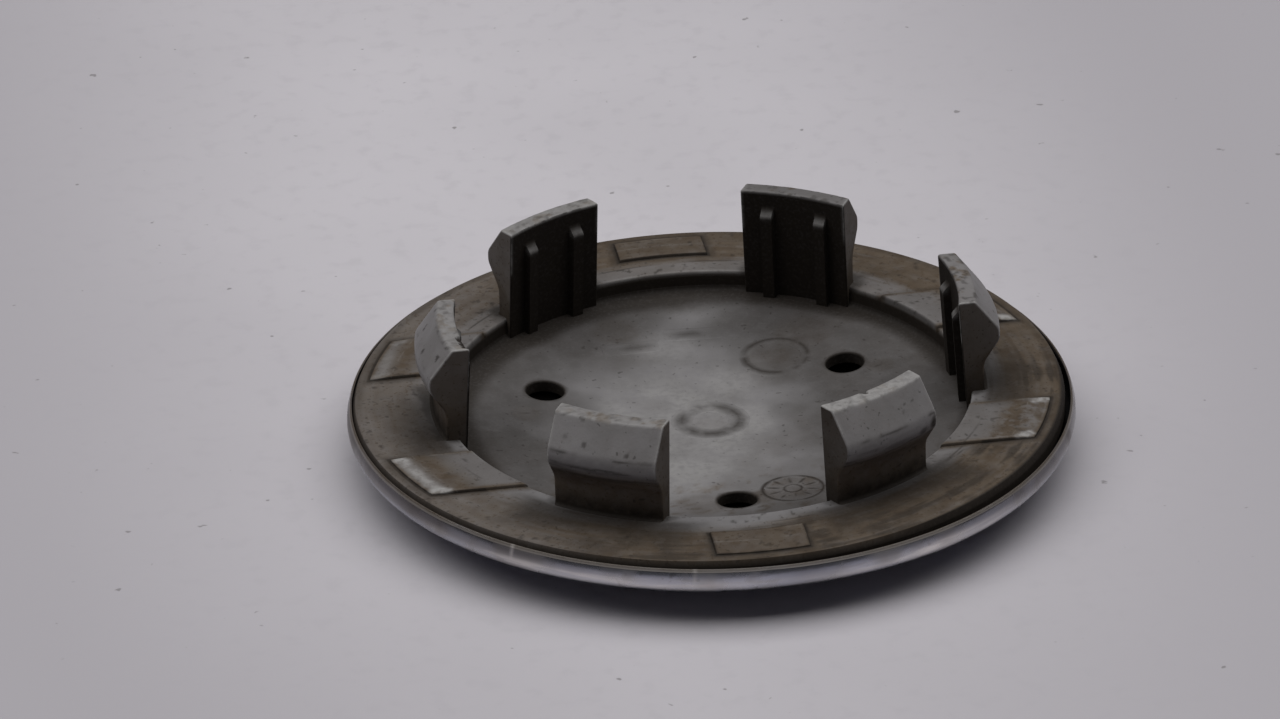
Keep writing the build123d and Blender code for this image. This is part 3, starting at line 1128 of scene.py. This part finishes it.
@dataclass
class Clip:
    """One barbed snap clip with two ribs up its inner face."""

    form: CapForm
    number: int
    width: float = 9.6
    neck_radius: float = 23.45
    neck_height: float = 2.58
    barb_depth: float = 1.35
    barb_rise: float = 2.09
    crest_land: float = 1.06
    tip_rise: float = 2.72
    tip_setback: float = 0.7
    lean: float = 0.7
    root_radius: float = 22.0
    root_height: float = 3.03
    foot_round: float = 0.4
    neck_round: float = 1.6
    crest_round: float = 1.2
    tip_round: float = 0.2
    end_round: float = 0.17
    rib_width: float = 1.1
    rib_spacing: float = 4.9
    rib_depth: float = 0.65
    rib_tip_drop: float = 1.6
    rib_slope_length: float = 0.7
    step: float = 0.16
    tip_wear: float = 0.7
    tip_dirt: float = 0.0
    end_soot: float = 0.05
    # Place across, reach and depth of each chip
    chips: Table = ()
    # Place across, height over the flange, reach and strength of each spot
    spots: Table = ()

    @property
    def tip_height(self) -> float:
        """Height of the clip's tip."""
        return self.form.flange_top + self.neck_height + self.barb_rise + self.crest_land + self.tip_rise

    def outer_path(self) -> Array:
        """Section of the outer side: foot, neck, barb, crest, slope and the outer half of the tip."""
        top = self.form.flange_top
        crest = self.neck_radius + self.barb_depth
        neck = top + self.neck_height
        foot = self.neck_radius + self.foot_round
        middle = (self.neck_radius - self.tip_setback + self.root_radius - self.lean) / 2
        path = rounded_path(
            [
                (foot + 0.4, top - 0.02),
                (self.neck_radius, top - 0.02),
                (self.neck_radius, neck),
                (crest, neck + self.barb_rise),
                (crest, neck + self.barb_rise + self.crest_land),
                (self.neck_radius - self.tip_setback, self.tip_height),
                (middle, self.tip_height),
            ],
            [0.0, self.foot_round, self.neck_round, self.crest_round, self.crest_round, self.tip_round, 0.0],
        )
        return np.vstack([[foot + 0.4, self.root_height], spaced(path, self.step)])

    def inner_path(self) -> Array:
        """Section of the inner side, from the root up the leaning face to the middle of the tip."""
        tip = self.root_radius - self.lean
        middle = (self.neck_radius - self.tip_setback + tip) / 2
        path = rounded_path(
            [(self.root_radius, self.root_height), (tip, self.tip_height), (middle, self.tip_height)],
            [0.0, self.tip_round, 0.0],
        )
        return spaced(path, self.step)

    def across(self) -> Array:
        """Places across the width: close together round the ends and at the ribs' sides."""
        half = self.width / 2
        bend = half - self.end_round * (1 - np.sin(np.linspace(0.0, math.pi / 2, 7)))
        sides = [
            sign * self.rib_spacing / 2 + edge * self.rib_width / 2 + shift
            for sign in (-1.0, 1.0)
            for edge in (-1.0, 1.0)
            for shift in (-0.05, 0.05)
        ]
        return stations(np.sort(np.concatenate([bend, -bend, sides])), 0.2)

    def inset(self, path: Array, across: Array, side: float) -> Array:
        """Section at each place across, drawn in towards the ends along the path's normal.

        The inset is the end round less the height of its quarter circle.

        Args:
            path: Points of one side of the section.
            across: Places across the width.
            side: 1 for the outer side, -1 for the inner.

        Returns:
            Radii and heights by place and point.
        """
        run = np.gradient(path, axis=0)
        run = run / np.maximum(np.linalg.norm(run, axis=1, keepdims=True), 1e-9)
        inward = side * np.column_stack([-run[:, 1], run[:, 0]])
        beyond = np.clip((np.abs(across) - self.width / 2 + self.end_round) / self.end_round, 0.0, 1.0)
        amount = self.end_round * (1 - np.sqrt(1 - beyond**2))
        return path[None] + amount[:, None, None] * inward[None]

    def ribs(self, across: Array, height: Array) -> Array:
        """How far the ribs stand off the inner face: a flat band, sloped off below the tip."""
        band_share = np.zeros_like(across)
        for sign in (-1.0, 1.0):
            beside = np.abs(across - sign * self.rib_spacing / 2)
            band_share = np.maximum(band_share, np.clip((self.rib_width / 2 + 0.05 - beside) / 0.1, 0.0, 1.0))
        top = self.tip_height - self.rib_tip_drop
        slope = np.clip((top - height) / self.rib_slope_length, 0.0, 1.0)
        return self.rib_depth * band_share * slope

    def wear(self, across: Array, height: Array, points: Array, outer: Array) -> dict[Mask, Array]:
        """Pale rubbed edges, painted highlights on the crest and the rib tops, dirt streaks at the crest,
        dark streaks under it, darker towards the foot, and painted shade over the inner face of the clip.

        Args:
            across: Place across the width of each point.
            height: Height of each point.
            points: The points.
            outer: 1 on the outer side and 0 on the inner.

        Returns:
            The masks.
        """
        seed = 40 + 7 * self.number
        fine = speckle(points, 0.5, seed)
        cloud = speckle(points, 2.6, seed + 1)
        drawn = np.stack([across * 0.22, height * 2.2, np.full_like(height, self.number * 3.7)], axis=-1)
        streak = speckle(drawn, 1.0, seed + 2)
        top = self.tip_height
        flange = self.form.flange_top
        crest_low = flange + self.neck_height + self.barb_rise
        from_end = self.width / 2 - np.abs(across)
        end_face = eased(from_end, 0.015, 0.0)
        end_edge = ridge(from_end, 0.1, 0.06)
        top_edge = eased(height, top - 0.3, top - 0.02)
        # Painted highlights on the sloped tops of the ribs
        rib_top_highlight = self.ribs(across, height) / self.rib_depth
        rib_top_highlight = rib_top_highlight * ridge(height, top - self.rib_tip_drop - 0.45, 0.35)
        end_edge = end_edge * eased(height, crest_low - 0.5, crest_low + 0.3)
        worn = 0.85 * end_edge * eased(cloud, 0.2, 0.5) + self.tip_wear * top_edge * (0.35 + 0.8 * fine)
        # Painted highlight along the middle of the crest
        worn = worn + 0.25 * ridge(height, crest_low + 0.75, 0.2) * outer * eased(fine, 0.4, 0.65)
        worn = np.maximum(worn, 0.5 * rib_top_highlight * (1 - outer)) * (1 - end_face)
        foot = 0.95 * eased(height, flange + 2.4, flange) * (0.55 + 0.9 * fine)
        foot = np.maximum(foot, 0.97 * eased(height, flange + 0.6, flange + 0.35))
        wander = height + 0.5 * (cloud - 0.5) + 0.3 * (fine - 0.5)
        crease = 0.7 * ridge(wander, crest_low + 0.1, 0.16) * eased(streak, 0.36, 0.56)
        crest_high = crest_low + self.crest_land
        crease = crease + 0.75 * ridge(wander, crest_high + 0.15, 0.1) * eased(cloud, 0.5, 0.62)
        under = 0.65 * ridge(height, crest_low - 0.7, 0.8) * eased(streak, 0.38, 0.6)
        spots = 0.7 * eased(speckle(points, 0.9, seed + 3), 0.76, 0.81)
        flecks = 0.6 * eased(speckle(points, 0.55, seed + 4), 0.58, 0.7) * eased(height, top - 0.5, top - 0.2)
        # Painted shade over the inner face, lighter on the rib tops, with some dirt
        inner = (1 - 0.35 * rib_top_highlight) * (1 - outer) * eased(height, top - 0.02, top - 0.3)
        line = np.maximum.reduce([foot * outer, crease * outer, under * outer, spots * outer, flecks, inner])
        line = np.maximum(line, self.tip_dirt * top_edge)
        end_dirt = self.end_soot + 0.15 * cloud + 0.35 * eased(height, flange + 3.0, flange)
        line = line * (1 - end_face) + end_dirt * end_face
        for middle, level, reach, strength in self.spots:
            away = np.hypot(across - middle, height - flange - level) + 0.35 * (fine - 0.5)
            line = np.maximum(line, strength * eased(away, reach, 0.4 * reach) * outer)
        grime = 0.2 * cloud + 0.35 * eased(height, top - 3.2, flange) * streak + 0.5 * end_face
        grime = np.maximum(grime, 0.85 * eased(height, crest_low + 0.1, crest_low - 1.2) * outer)
        grime = np.maximum(grime, 0.9 * eased(speckle(points, 0.9, seed + 5), 0.55, 0.68) * top_edge)
        return {Mask.GRIME_AND_SHADE: grime, Mask.LINE: line, Mask.WEAR_AND_GLINT: worn}

    def chip(self, place: Array, radius: Array, height: Array) -> Array:
        """Depth to which bits are broken off the inner edge of the tip, ragged along the width.

        Args:
            place: Place across the width of each point.
            radius: Radius of each point from the body's axis.
            height: Height of each point.

        Returns:
            The depth at each point.
        """
        along = np.stack([place, np.zeros_like(place), np.zeros_like(place)], axis=-1)
        jag = np.clip(0.35 + 2.2 * (speckle(along, 0.42, 80 + self.number) - 0.4), 0.0, 1.0)
        edge = eased(height, self.tip_height - 0.5, self.tip_height)
        edge = edge * eased(radius, self.root_radius, self.root_radius - 0.6)
        depth = np.zeros_like(place)
        for middle, reach, deepest in self.chips:
            depth = np.maximum(depth, deepest * eased(np.abs(place - middle), reach, 0.4 * reach))
        return depth * jag * edge

    def end_cap(self, row: Array, count: int) -> tuple[Array, Array]:
        """Cells that close one end of the clip.

        Args:
            row: Point numbers of the end's loop, up the outer side and down the inner.
            count: Number of points on the outer side, with the tip's middle as the last.

        Returns:
            Cells from each run of the outer side to the run across from it, and the triangle at the tip.
        """
        outer = row[:count]
        inner = row[::-1][: count - 1]
        quads = np.stack([outer[: count - 2], outer[1 : count - 1], inner[1:], inner[:-1]], axis=1)
        return quads, np.array([[outer[count - 2], outer[count - 1], inner[count - 2]]])

    def surface(self) -> Surface:
        """The barbed section carried across the clip on circles about the body's axis.

        At a place across, a point of the section goes to the distance whose square is its radius squared
        less the place squared. The two ends are closed by cells from the outer side to the inner.

        Returns:
            The closed surface, turned to the clip's place in the ring.
        """
        inner_line = self.inner_path()
        outer_line = self.outer_path()
        inner_at = np.linspace(0.0, 1.0, len(inner_line))
        outer_at = np.linspace(0.0, 1.0, len(outer_line))
        inner_line = np.column_stack([np.interp(outer_at, inner_at, inner_line[:, axis]) for axis in (0, 1)])
        across = self.across()
        outer_rows = self.inset(outer_line, across, 1.0)
        inner_rows = self.inset(inner_line, across, -1.0)
        inner_rows[..., 0] -= self.ribs(across[:, None], inner_rows[..., 1])
        loop = np.concatenate([outer_rows, inner_rows[:, -2::-1]], axis=1)
        count = outer_rows.shape[1]
        place = np.repeat(across[:, None], loop.shape[1], axis=1)
        radius, height = loop[..., 0], loop[..., 1]
        outer = np.zeros_like(radius)
        outer[:, :count] = 1.0
        raw = np.stack([np.sqrt(radius**2 - place**2), place, height], axis=-1)
        broken = self.chip(place, radius, height)
        rim = eased(height, self.tip_height - 0.5, self.tip_height)
        raw[..., 2] -= broken + 0.05 * rim * speckle(raw, 0.35, 60 + self.number)
        raw[..., 0] += 0.6 * broken
        turn = 2 * math.pi * self.number / self.form.clip_count
        cosine, sine = math.cos(turn), math.sin(turn)
        x = raw[..., 0] * cosine - raw[..., 1] * sine
        y = raw[..., 0] * sine + raw[..., 1] * cosine
        points = np.stack([x, y, raw[..., 2]], axis=-1)
        masks = self.wear(place, height, points, outer)
        masks[Mask.LINE] = np.maximum(masks[Mask.LINE], eased(broken, 0.03, 0.12))
        masks[Mask.WEAR_AND_GLINT] = masks[Mask.WEAR_AND_GLINT] * eased(broken, 0.12, 0.03)
        rows, columns = radius.shape
        index = np.arange(rows * columns).reshape(rows, columns)
        near, near_tip = self.end_cap(index[0], count)
        far, far_tip = self.end_cap(index[-1], count)
        return Surface(
            points=self.form.placed(points.reshape(-1, 3)),
            quads=np.vstack([grid_quads(rows, columns, columns_close=True), near, far[:, ::-1]]),
            triangles=np.vstack([near_tip, far_tip[:, ::-1]]),
            masks={mask: values.ravel() for mask, values in masks.items()},
            sharp_deg=50.0,
        )


class NodeBench:
    """Short calls for laying out one material's nodes."""

    def __init__(self, name: str) -> None:
        """Starts a material with a principled shader.

        Args:
            name: Name of the material.
        """
        self.material = bpy.data.materials.new(name)
        self.material.use_nodes = True
        self.tree = self.material.node_tree
        self.shader = self.tree.nodes["Principled BSDF"]
        self.place = self.tree.nodes.new("ShaderNodeTexCoord").outputs["Object"]

    def fill(self, socket: bpy.types.NodeSocket, value: object) -> None:
        """Links a socket to another, or sets its colour or number."""
        if isinstance(value, bpy.types.NodeSocket):
            self.tree.links.new(value, socket)
        elif isinstance(value, tuple):
            socket.default_value = (*value, 1.0)
        else:
            socket.default_value = value

    def noise(self, scale: float, detail: float) -> bpy.types.NodeSocket:
        """Noise in object space.

        Args:
            scale: Lattice cells in a metre.
            detail: Number of finer layers.

        Returns:
            The noise's number.
        """
        texture = self.tree.nodes.new("ShaderNodeTexNoise")
        texture.inputs["Scale"].default_value = scale
        texture.inputs["Detail"].default_value = detail
        self.tree.links.new(self.place, texture.inputs["Vector"])
        return texture.outputs["Fac"]

    def mask(self, mask: Mask) -> bpy.types.NodeSocket:
        """The wear and painted light that the mesh carries under a name."""
        reader = self.tree.nodes.new("ShaderNodeAttribute")
        reader.attribute_name = mask.value
        return reader.outputs["Fac"]

    def reach(self, shift: Triple, stretch: Triple) -> bpy.types.NodeSocket:
        """Distance from a place, with each axis scaled."""
        mapping = self.tree.nodes.new("ShaderNodeMapping")
        mapping.inputs["Location"].default_value = shift
        mapping.inputs["Scale"].default_value = stretch
        self.tree.links.new(self.place, mapping.inputs["Vector"])
        length = self.tree.nodes.new("ShaderNodeVectorMath")
        length.operation = "LENGTH"
        self.tree.links.new(mapping.outputs["Vector"], length.inputs[0])
        return length.outputs["Value"]

    def span(
        self, value: bpy.types.NodeSocket, low: float, high: float, first: float = 0.0, last: float = 1.0
    ) -> bpy.types.NodeSocket:
        """Number that goes from first to last, with eased ends, as a value goes from low to high."""
        ranger = self.tree.nodes.new("ShaderNodeMapRange")
        ranger.interpolation_type = "SMOOTHSTEP"
        self.tree.links.new(value, ranger.inputs["Value"])
        for name, number in (("From Min", low), ("From Max", high), ("To Min", first), ("To Max", last)):
            ranger.inputs[name].default_value = number
        return ranger.outputs["Result"]

    def sum(self, rule: Sum, first: object, second: object) -> bpy.types.NodeSocket:
        """Two numbers joined by a rule, kept between 0 and 1."""
        sums = self.tree.nodes.new("ShaderNodeMath")
        sums.operation = rule.value
        sums.use_clamp = True
        self.fill(sums.inputs[0], first)
        self.fill(sums.inputs[1], second)
        return sums.outputs["Value"]

    def mixed(self, amount: object, first: object, second: object) -> bpy.types.NodeSocket:
        """One colour laid over another.

        Args:
            amount: Share of the second colour.
            first: Colour below.
            second: Colour laid over it.

        Returns:
            The mixed colour.
        """
        mix = self.tree.nodes.new("ShaderNodeMix")
        mix.data_type = "RGBA"
        self.fill(mix.inputs["Factor"], amount)
        self.fill(mix.inputs[MIX_BELOW], first)
        self.fill(mix.inputs[MIX_ABOVE], second)
        return mix.outputs[MIX_RESULT]

    def bump(
        self, height: bpy.types.NodeSocket, strength: float, distance: float, below: object = None
    ) -> bpy.types.NodeSocket:
        """Normal that a height gives, on top of another normal if there is one."""
        bump = self.tree.nodes.new("ShaderNodeBump")
        bump.inputs["Strength"].default_value = strength
        bump.inputs["Distance"].default_value = distance
        self.tree.links.new(height, bump.inputs["Height"])
        if below is not None:
            self.tree.links.new(below, bump.inputs["Normal"])
        return bump.outputs["Normal"]


@dataclass(frozen=True)
class PlasticFinish:
    """Aged grey moulded plastic with brown road dirt on it, painted shade and painted highlights."""

    clean: Colour = (0.171, 0.164, 0.166)
    faded: Colour = (0.141, 0.135, 0.135)
    brown: Colour = (0.085, 0.064, 0.045)
    rust: Colour = (0.060, 0.041, 0.025)
    dark: Colour = (0.013, 0.009, 0.006)
    pale: Colour = (0.266, 0.258, 0.252)
    specular: float = 0.25
    roughness: tuple[float, float] = (0.42, 0.75)

    def material(self) -> bpy.types.Material:
        """Lays dirt, dark lines and painted shade, then rubbed places and painted highlights, over mottled
        grey.

        Returns:
            The material.
        """
        bench = NodeBench("grey_plastic")
        mottle = bench.span(bench.noise(320.0, 4.0), 0.35, 0.68)
        grain = bench.noise(3600.0, 2.0)
        specks = bench.span(bench.noise(2100.0, 1.0), 0.685, 0.75)
        grit = bench.span(bench.noise(3000.0, 2.0), 0.60, 0.68)
        grime = bench.mask(Mask.GRIME_AND_SHADE)
        film_and_shade = bench.sum(Sum.MULTIPLY, grime, bench.span(bench.noise(900.0, 5.0), 0.25, 0.6, 0.86, 1.06))
        colour = bench.mixed(mottle, self.clean, self.faded)
        earth = bench.mixed(bench.span(bench.noise(520.0, 4.0), 0.35, 0.75), self.brown, self.rust)
        colour = bench.mixed(film_and_shade, colour, earth)
        colour = bench.mixed(bench.sum(Sum.MULTIPLY, grit, grime), colour, self.rust)
        colour = bench.mixed(bench.sum(Sum.MULTIPLY, specks, 0.5), colour, self.dark)
        # Dark dirt lines, and painted shade in recesses, under overhangs and on the clips' inner faces
        line = bench.sum(Sum.MULTIPLY, bench.mask(Mask.LINE), bench.span(grain, 0.2, 0.55, 0.9, 1.0))
        colour = bench.mixed(line, colour, self.dark)
        scuff = bench.span(bench.noise(1700.0, 3.0), 0.3, 0.6, 0.45, 1.0)
        # Pale rubbed places, and painted highlights and sheen
        rubbed_and_glint = bench.sum(Sum.MULTIPLY, bench.mask(Mask.WEAR_AND_GLINT), scuff)
        colour = bench.mixed(rubbed_and_glint, colour, self.pale)
        bench.fill(bench.shader.inputs["Base Color"], colour)
        dirty = bench.sum(Sum.MAXIMUM, film_and_shade, line)
        bench.fill(bench.shader.inputs["Roughness"], bench.span(dirty, 0.0, 1.0, *self.roughness))
        bench.shader.inputs["Specular IOR Level"].default_value = self.specular
        relief = bench.bump(grain, 0.18, 0.00006)
        relief = bench.bump(bench.noise(700.0, 3.0), 0.12, 0.0002, relief)
        bench.fill(bench.shader.inputs["Normal"], relief)
        return bench.material


@dataclass(frozen=True)
class PlatingFinish:
    """Bright plating, dull and brown in places, with pale scratches. The brown colour also lays the painted
    shade on the rim's sides, and the pale colour the painted reflections and highlights.
    """

    bright: Colour = (0.48, 0.50, 0.59)
    dull_and_shade: Colour = (0.40, 0.39, 0.41)
    tarnish_and_shade: Colour = (0.062, 0.048, 0.037)
    scratch_and_reflection: Colour = (0.84, 0.80, 0.77)
    inside: Colour = (0.02, 0.018, 0.016)
    caked: tuple[float, float] = (0.84, 0.97)
    roughness: tuple[float, float] = (0.22, 0.42)

    def material(self) -> bpy.types.Material:
        """Lays tarnish and painted shade, then scratches and painted reflections, over the plating.

        Returns:
            The material.
        """
        bench = NodeBench("plated_face")
        haze = bench.span(bench.noise(240.0, 4.0), 0.4, 0.7)
        stain = bench.span(bench.noise(760.0, 5.0), 0.56, 0.72)
        colour = bench.mixed(haze, self.bright, self.dull_and_shade)
        brown = bench.sum(Sum.MAXIMUM, bench.sum(Sum.MULTIPLY, stain, 0.6), bench.mask(Mask.GRIME_AND_SHADE))
        # Brown tarnish, which also lays the painted shade on the rim's sides
        colour = bench.mixed(brown, colour, self.tarnish_and_shade)
        bench.fill(bench.shader.inputs["Metallic"], bench.span(bench.mask(Mask.GRIME_AND_SHADE), *self.caked, 1.0, 0.0))
        # Pale scratches, which also lay the painted reflections and highlights of the rim
        colour = bench.mixed(bench.mask(Mask.WEAR_AND_GLINT), colour, self.scratch_and_reflection)
        colour = bench.mixed(bench.mask(Mask.LINE), colour, self.inside)
        bench.fill(bench.shader.inputs["Base Color"], colour)
        bench.fill(bench.shader.inputs["Roughness"], bench.span(haze, 0.0, 1.0, *self.roughness))
        bench.fill(bench.shader.inputs["Normal"], bench.bump(bench.noise(1300.0, 4.0), 0.1, 0.00008))
        return bench.material


@dataclass(frozen=True)
class TableFinish:
    """Pale painted table with faint marks, painted darker away from the cap as painted shade."""

    pale: Colour = (0.50, 0.478, 0.505)
    shade: Colour = (0.44, 0.42, 0.445)
    mark: Colour = (0.16, 0.15, 0.15)
    # Colour of the darker mottle, and of the painted shade away from the cap
    far: Colour = (0.36, 0.342, 0.366)
    lit_reach: tuple[float, float] = (0.03, 0.1)
    lit_shift: Triple = (0.008, -0.03, 0.0)
    lit_stretch: Triple = (1.6, 0.6, 1.0)
    mottle_share: float = 0.25
    speck_share: float = 0.7
    roughness: float = 0.55

    def material(self) -> bpy.types.Material:
        """Lays a faint mottle, painted shade away from the cap and a few specks over the pale paint.

        Returns:
            The material.
        """
        bench = NodeBench("pale_table")
        cloud = bench.span(bench.noise(14.0, 3.0), 0.3, 0.7)
        specks = bench.span(bench.noise(620.0, 2.0), 0.725, 0.765)
        mottle = bench.span(bench.noise(480.0, 5.0), 0.5, 0.72)
        colour = bench.mixed(cloud, self.pale, self.shade)
        colour = bench.mixed(bench.sum(Sum.MULTIPLY, mottle, self.mottle_share), colour, self.far)
        # Painted shade: darker away from a lit place near the cap
        distance = bench.reach(self.lit_shift, self.lit_stretch)
        colour = bench.mixed(bench.span(distance, *self.lit_reach), colour, self.far)
        colour = bench.mixed(bench.sum(Sum.MULTIPLY, specks, self.speck_share), colour, self.mark)
        bench.fill(bench.shader.inputs["Base Color"], colour)
        bench.shader.inputs["Roughness"].default_value = self.roughness
        bench.fill(bench.shader.inputs["Normal"], bench.bump(bench.noise(900.0, 3.0), 0.05, 0.0002))
        return bench.material


@dataclass
class ClipBody:
    """The grey moulding: flange, well floor and the ring of clips."""

    form: CapForm
    finish: PlasticFinish
    tip_wear: tuple[float, ...] = (0.08, 0.0, 0.65, 0.55, 0.5, 1.0)
    tip_dirt: tuple[float, ...] = (0.0, 0.26, 0.0, 0.0, 0.0, 0.0)
    end_soot: tuple[float, ...] = (0.15, 0.1, 0.02, 0.0, 0.12, 0.45)
    # Chips and spots by the number of their clip
    chips: dict[int, Table] = field(
        default_factory=lambda: {3: ((3.2, 1.5, 0.35),), 5: ((-0.6, 0.35, 0.3),)}
    )
    spots: dict[int, Table] = field(
        default_factory=lambda: {
            3: ((2.2, 4.6, 0.45, 0.8), (0.4, 6.4, 0.3, 0.7)),
            4: ((-1.5, 6.6, 0.3, 0.6), (2.3, 6.3, 0.3, 0.7), (-3.4, 6.9, 0.3, 0.35)),
            5: ((4.6, 5.0, 0.9, 0.95), (3.2, 4.7, 0.6, 0.6)),
        }
    )

    def build(self) -> None:
        """Builds the moulding's pieces and dresses them."""
        material = self.finish.material()
        Flange(self.form).surface().build("flange", material, Slot.PLASTIC, Node.BODY)
        floor = WellFloor(self.form)
        floor.surface().build("well_floor", material, Slot.PLASTIC, Node.BODY)
        FloorMarks(self.form, floor).surface().build("floor_marks", material, Slot.PLASTIC, Node.BODY)
        for number in range(self.form.clip_count):
            clip = Clip(
                self.form,
                number,
                tip_wear=self.tip_wear[number],
                tip_dirt=self.tip_dirt[number],
                end_soot=self.end_soot[number],
                chips=self.chips.get(number, ()),
                spots=self.spots.get(number, ()),
            )
            clip.surface().build(f"clip_{number + 1}", material, Slot.PLASTIC, Node.BODY)


@dataclass
class Studio:
    """Pale table, one broad lamp overhead, a dim room and the camera."""

    table_half: float = 1.6
    lamp_place: Triple = (-0.05, 0.1, 0.8)
    lamp_size: tuple[float, float] = (2.0, 0.9)
    lamp_watts: float = 13.4
    room: Colour = (0.05, 0.051, 0.055)
    elevation_deg: float = 27.461
    turn_deg: float = -7.75
    roll_deg: float = -1.7675
    unit: float = 30.3
    across: float = 0.191843
    down: float = 0.083721
    away: float = 20.504238
    focal_px: float = 7302.7
    picture_px: float = 1280.0

    def lay_table(self) -> None:
        """Lays the table: a level grid of four cells at the foot of the dome."""
        steps = np.linspace(-self.table_half, self.table_half, 3)
        x, y = np.meshgrid(steps, steps)
        points = np.column_stack([x.ravel(), y.ravel(), np.zeros(x.size)])
        mesh = bpy.data.meshes.new("table")
        mesh.from_pydata(points.tolist(), [], grid_quads(3, 3).tolist())
        mesh.materials.append(TableFinish().material())
        table = bpy.data.objects.new("table", mesh)
        bpy.context.scene.collection.objects.link(table)

    def light(self) -> None:
        """Hangs the lamp and dims the room."""
        lamp = bpy.data.lights.new("overhead_lamp", "AREA")
        lamp.shape = "RECTANGLE"
        lamp.size, lamp.size_y = self.lamp_size
        lamp.energy = self.lamp_watts
        holder = bpy.data.objects.new("overhead_lamp", lamp)
        holder.location = self.lamp_place
        bpy.context.scene.collection.objects.link(holder)
        world = bpy.data.worlds.new("dim_room")
        world.use_nodes = True
        world.node_tree.nodes["Background"].inputs["Color"].default_value = (*self.room, 1.0)
        bpy.context.scene.world = world

    def aim_camera(self, form: CapForm) -> None:
        """Sets the camera at the angle and framing of the picture.

        The camera looks down at the elevation and is rolled a little. Its place is found from where the
        centre of the flange lies in the picture: so many flange radii away, across and down.

        Args:
            form: Sizes of the cap.
        """
        pitch, roll = math.radians(self.elevation_deg), math.radians(self.roll_deg)
        ahead = Vector((0.0, math.cos(pitch), -math.sin(pitch)))
        right = Vector((1.0, 0.0, 0.0))
        below = Vector((0.0, -math.sin(pitch), -math.cos(pitch)))
        picture_right = right * math.cos(roll) - below * math.sin(roll)
        picture_down = right * math.sin(roll) + below * math.cos(roll)
        place = -(picture_right * self.across + picture_down * self.down + ahead * self.away) * self.unit
        axes = Matrix((picture_right, -picture_down, -ahead)).transposed().to_4x4()
        lean = Matrix(form.leaning.tolist()).to_4x4()
        turn = lean @ Matrix.Rotation(math.radians(self.turn_deg), 4, "Z")
        centre = Vector(form.placed(np.array([0.0, 0.0, form.flange_top])))
        camera = bpy.data.cameras.new("camera")
        camera.lens = self.focal_px * camera.sensor_width / self.picture_px
        camera.clip_start = 0.01
        holder = bpy.data.objects.new("camera", camera)
        bpy.context.scene.collection.objects.link(holder)
        holder.matrix_world = Matrix.Translation((centre + turn @ place) * MM) @ turn @ axes
        bpy.context.scene.camera = holder


def main() -> None:
    logging.basicConfig(level=logging.INFO, format="%(name)s %(message)s")
    bpy.context.scene.view_settings.view_transform = "Standard"
    form = CapForm()
    face = FrontFace(form).surface()
    face.build("face_shell", PlatingFinish().material(), Slot.PLATING, Node.FACE)
    ClipBody(form, PlasticFinish()).build()
    studio = Studio()
    studio.lay_table()
    studio.light()
    studio.aim_camera(form)


if __name__ == "__main__":
    main()
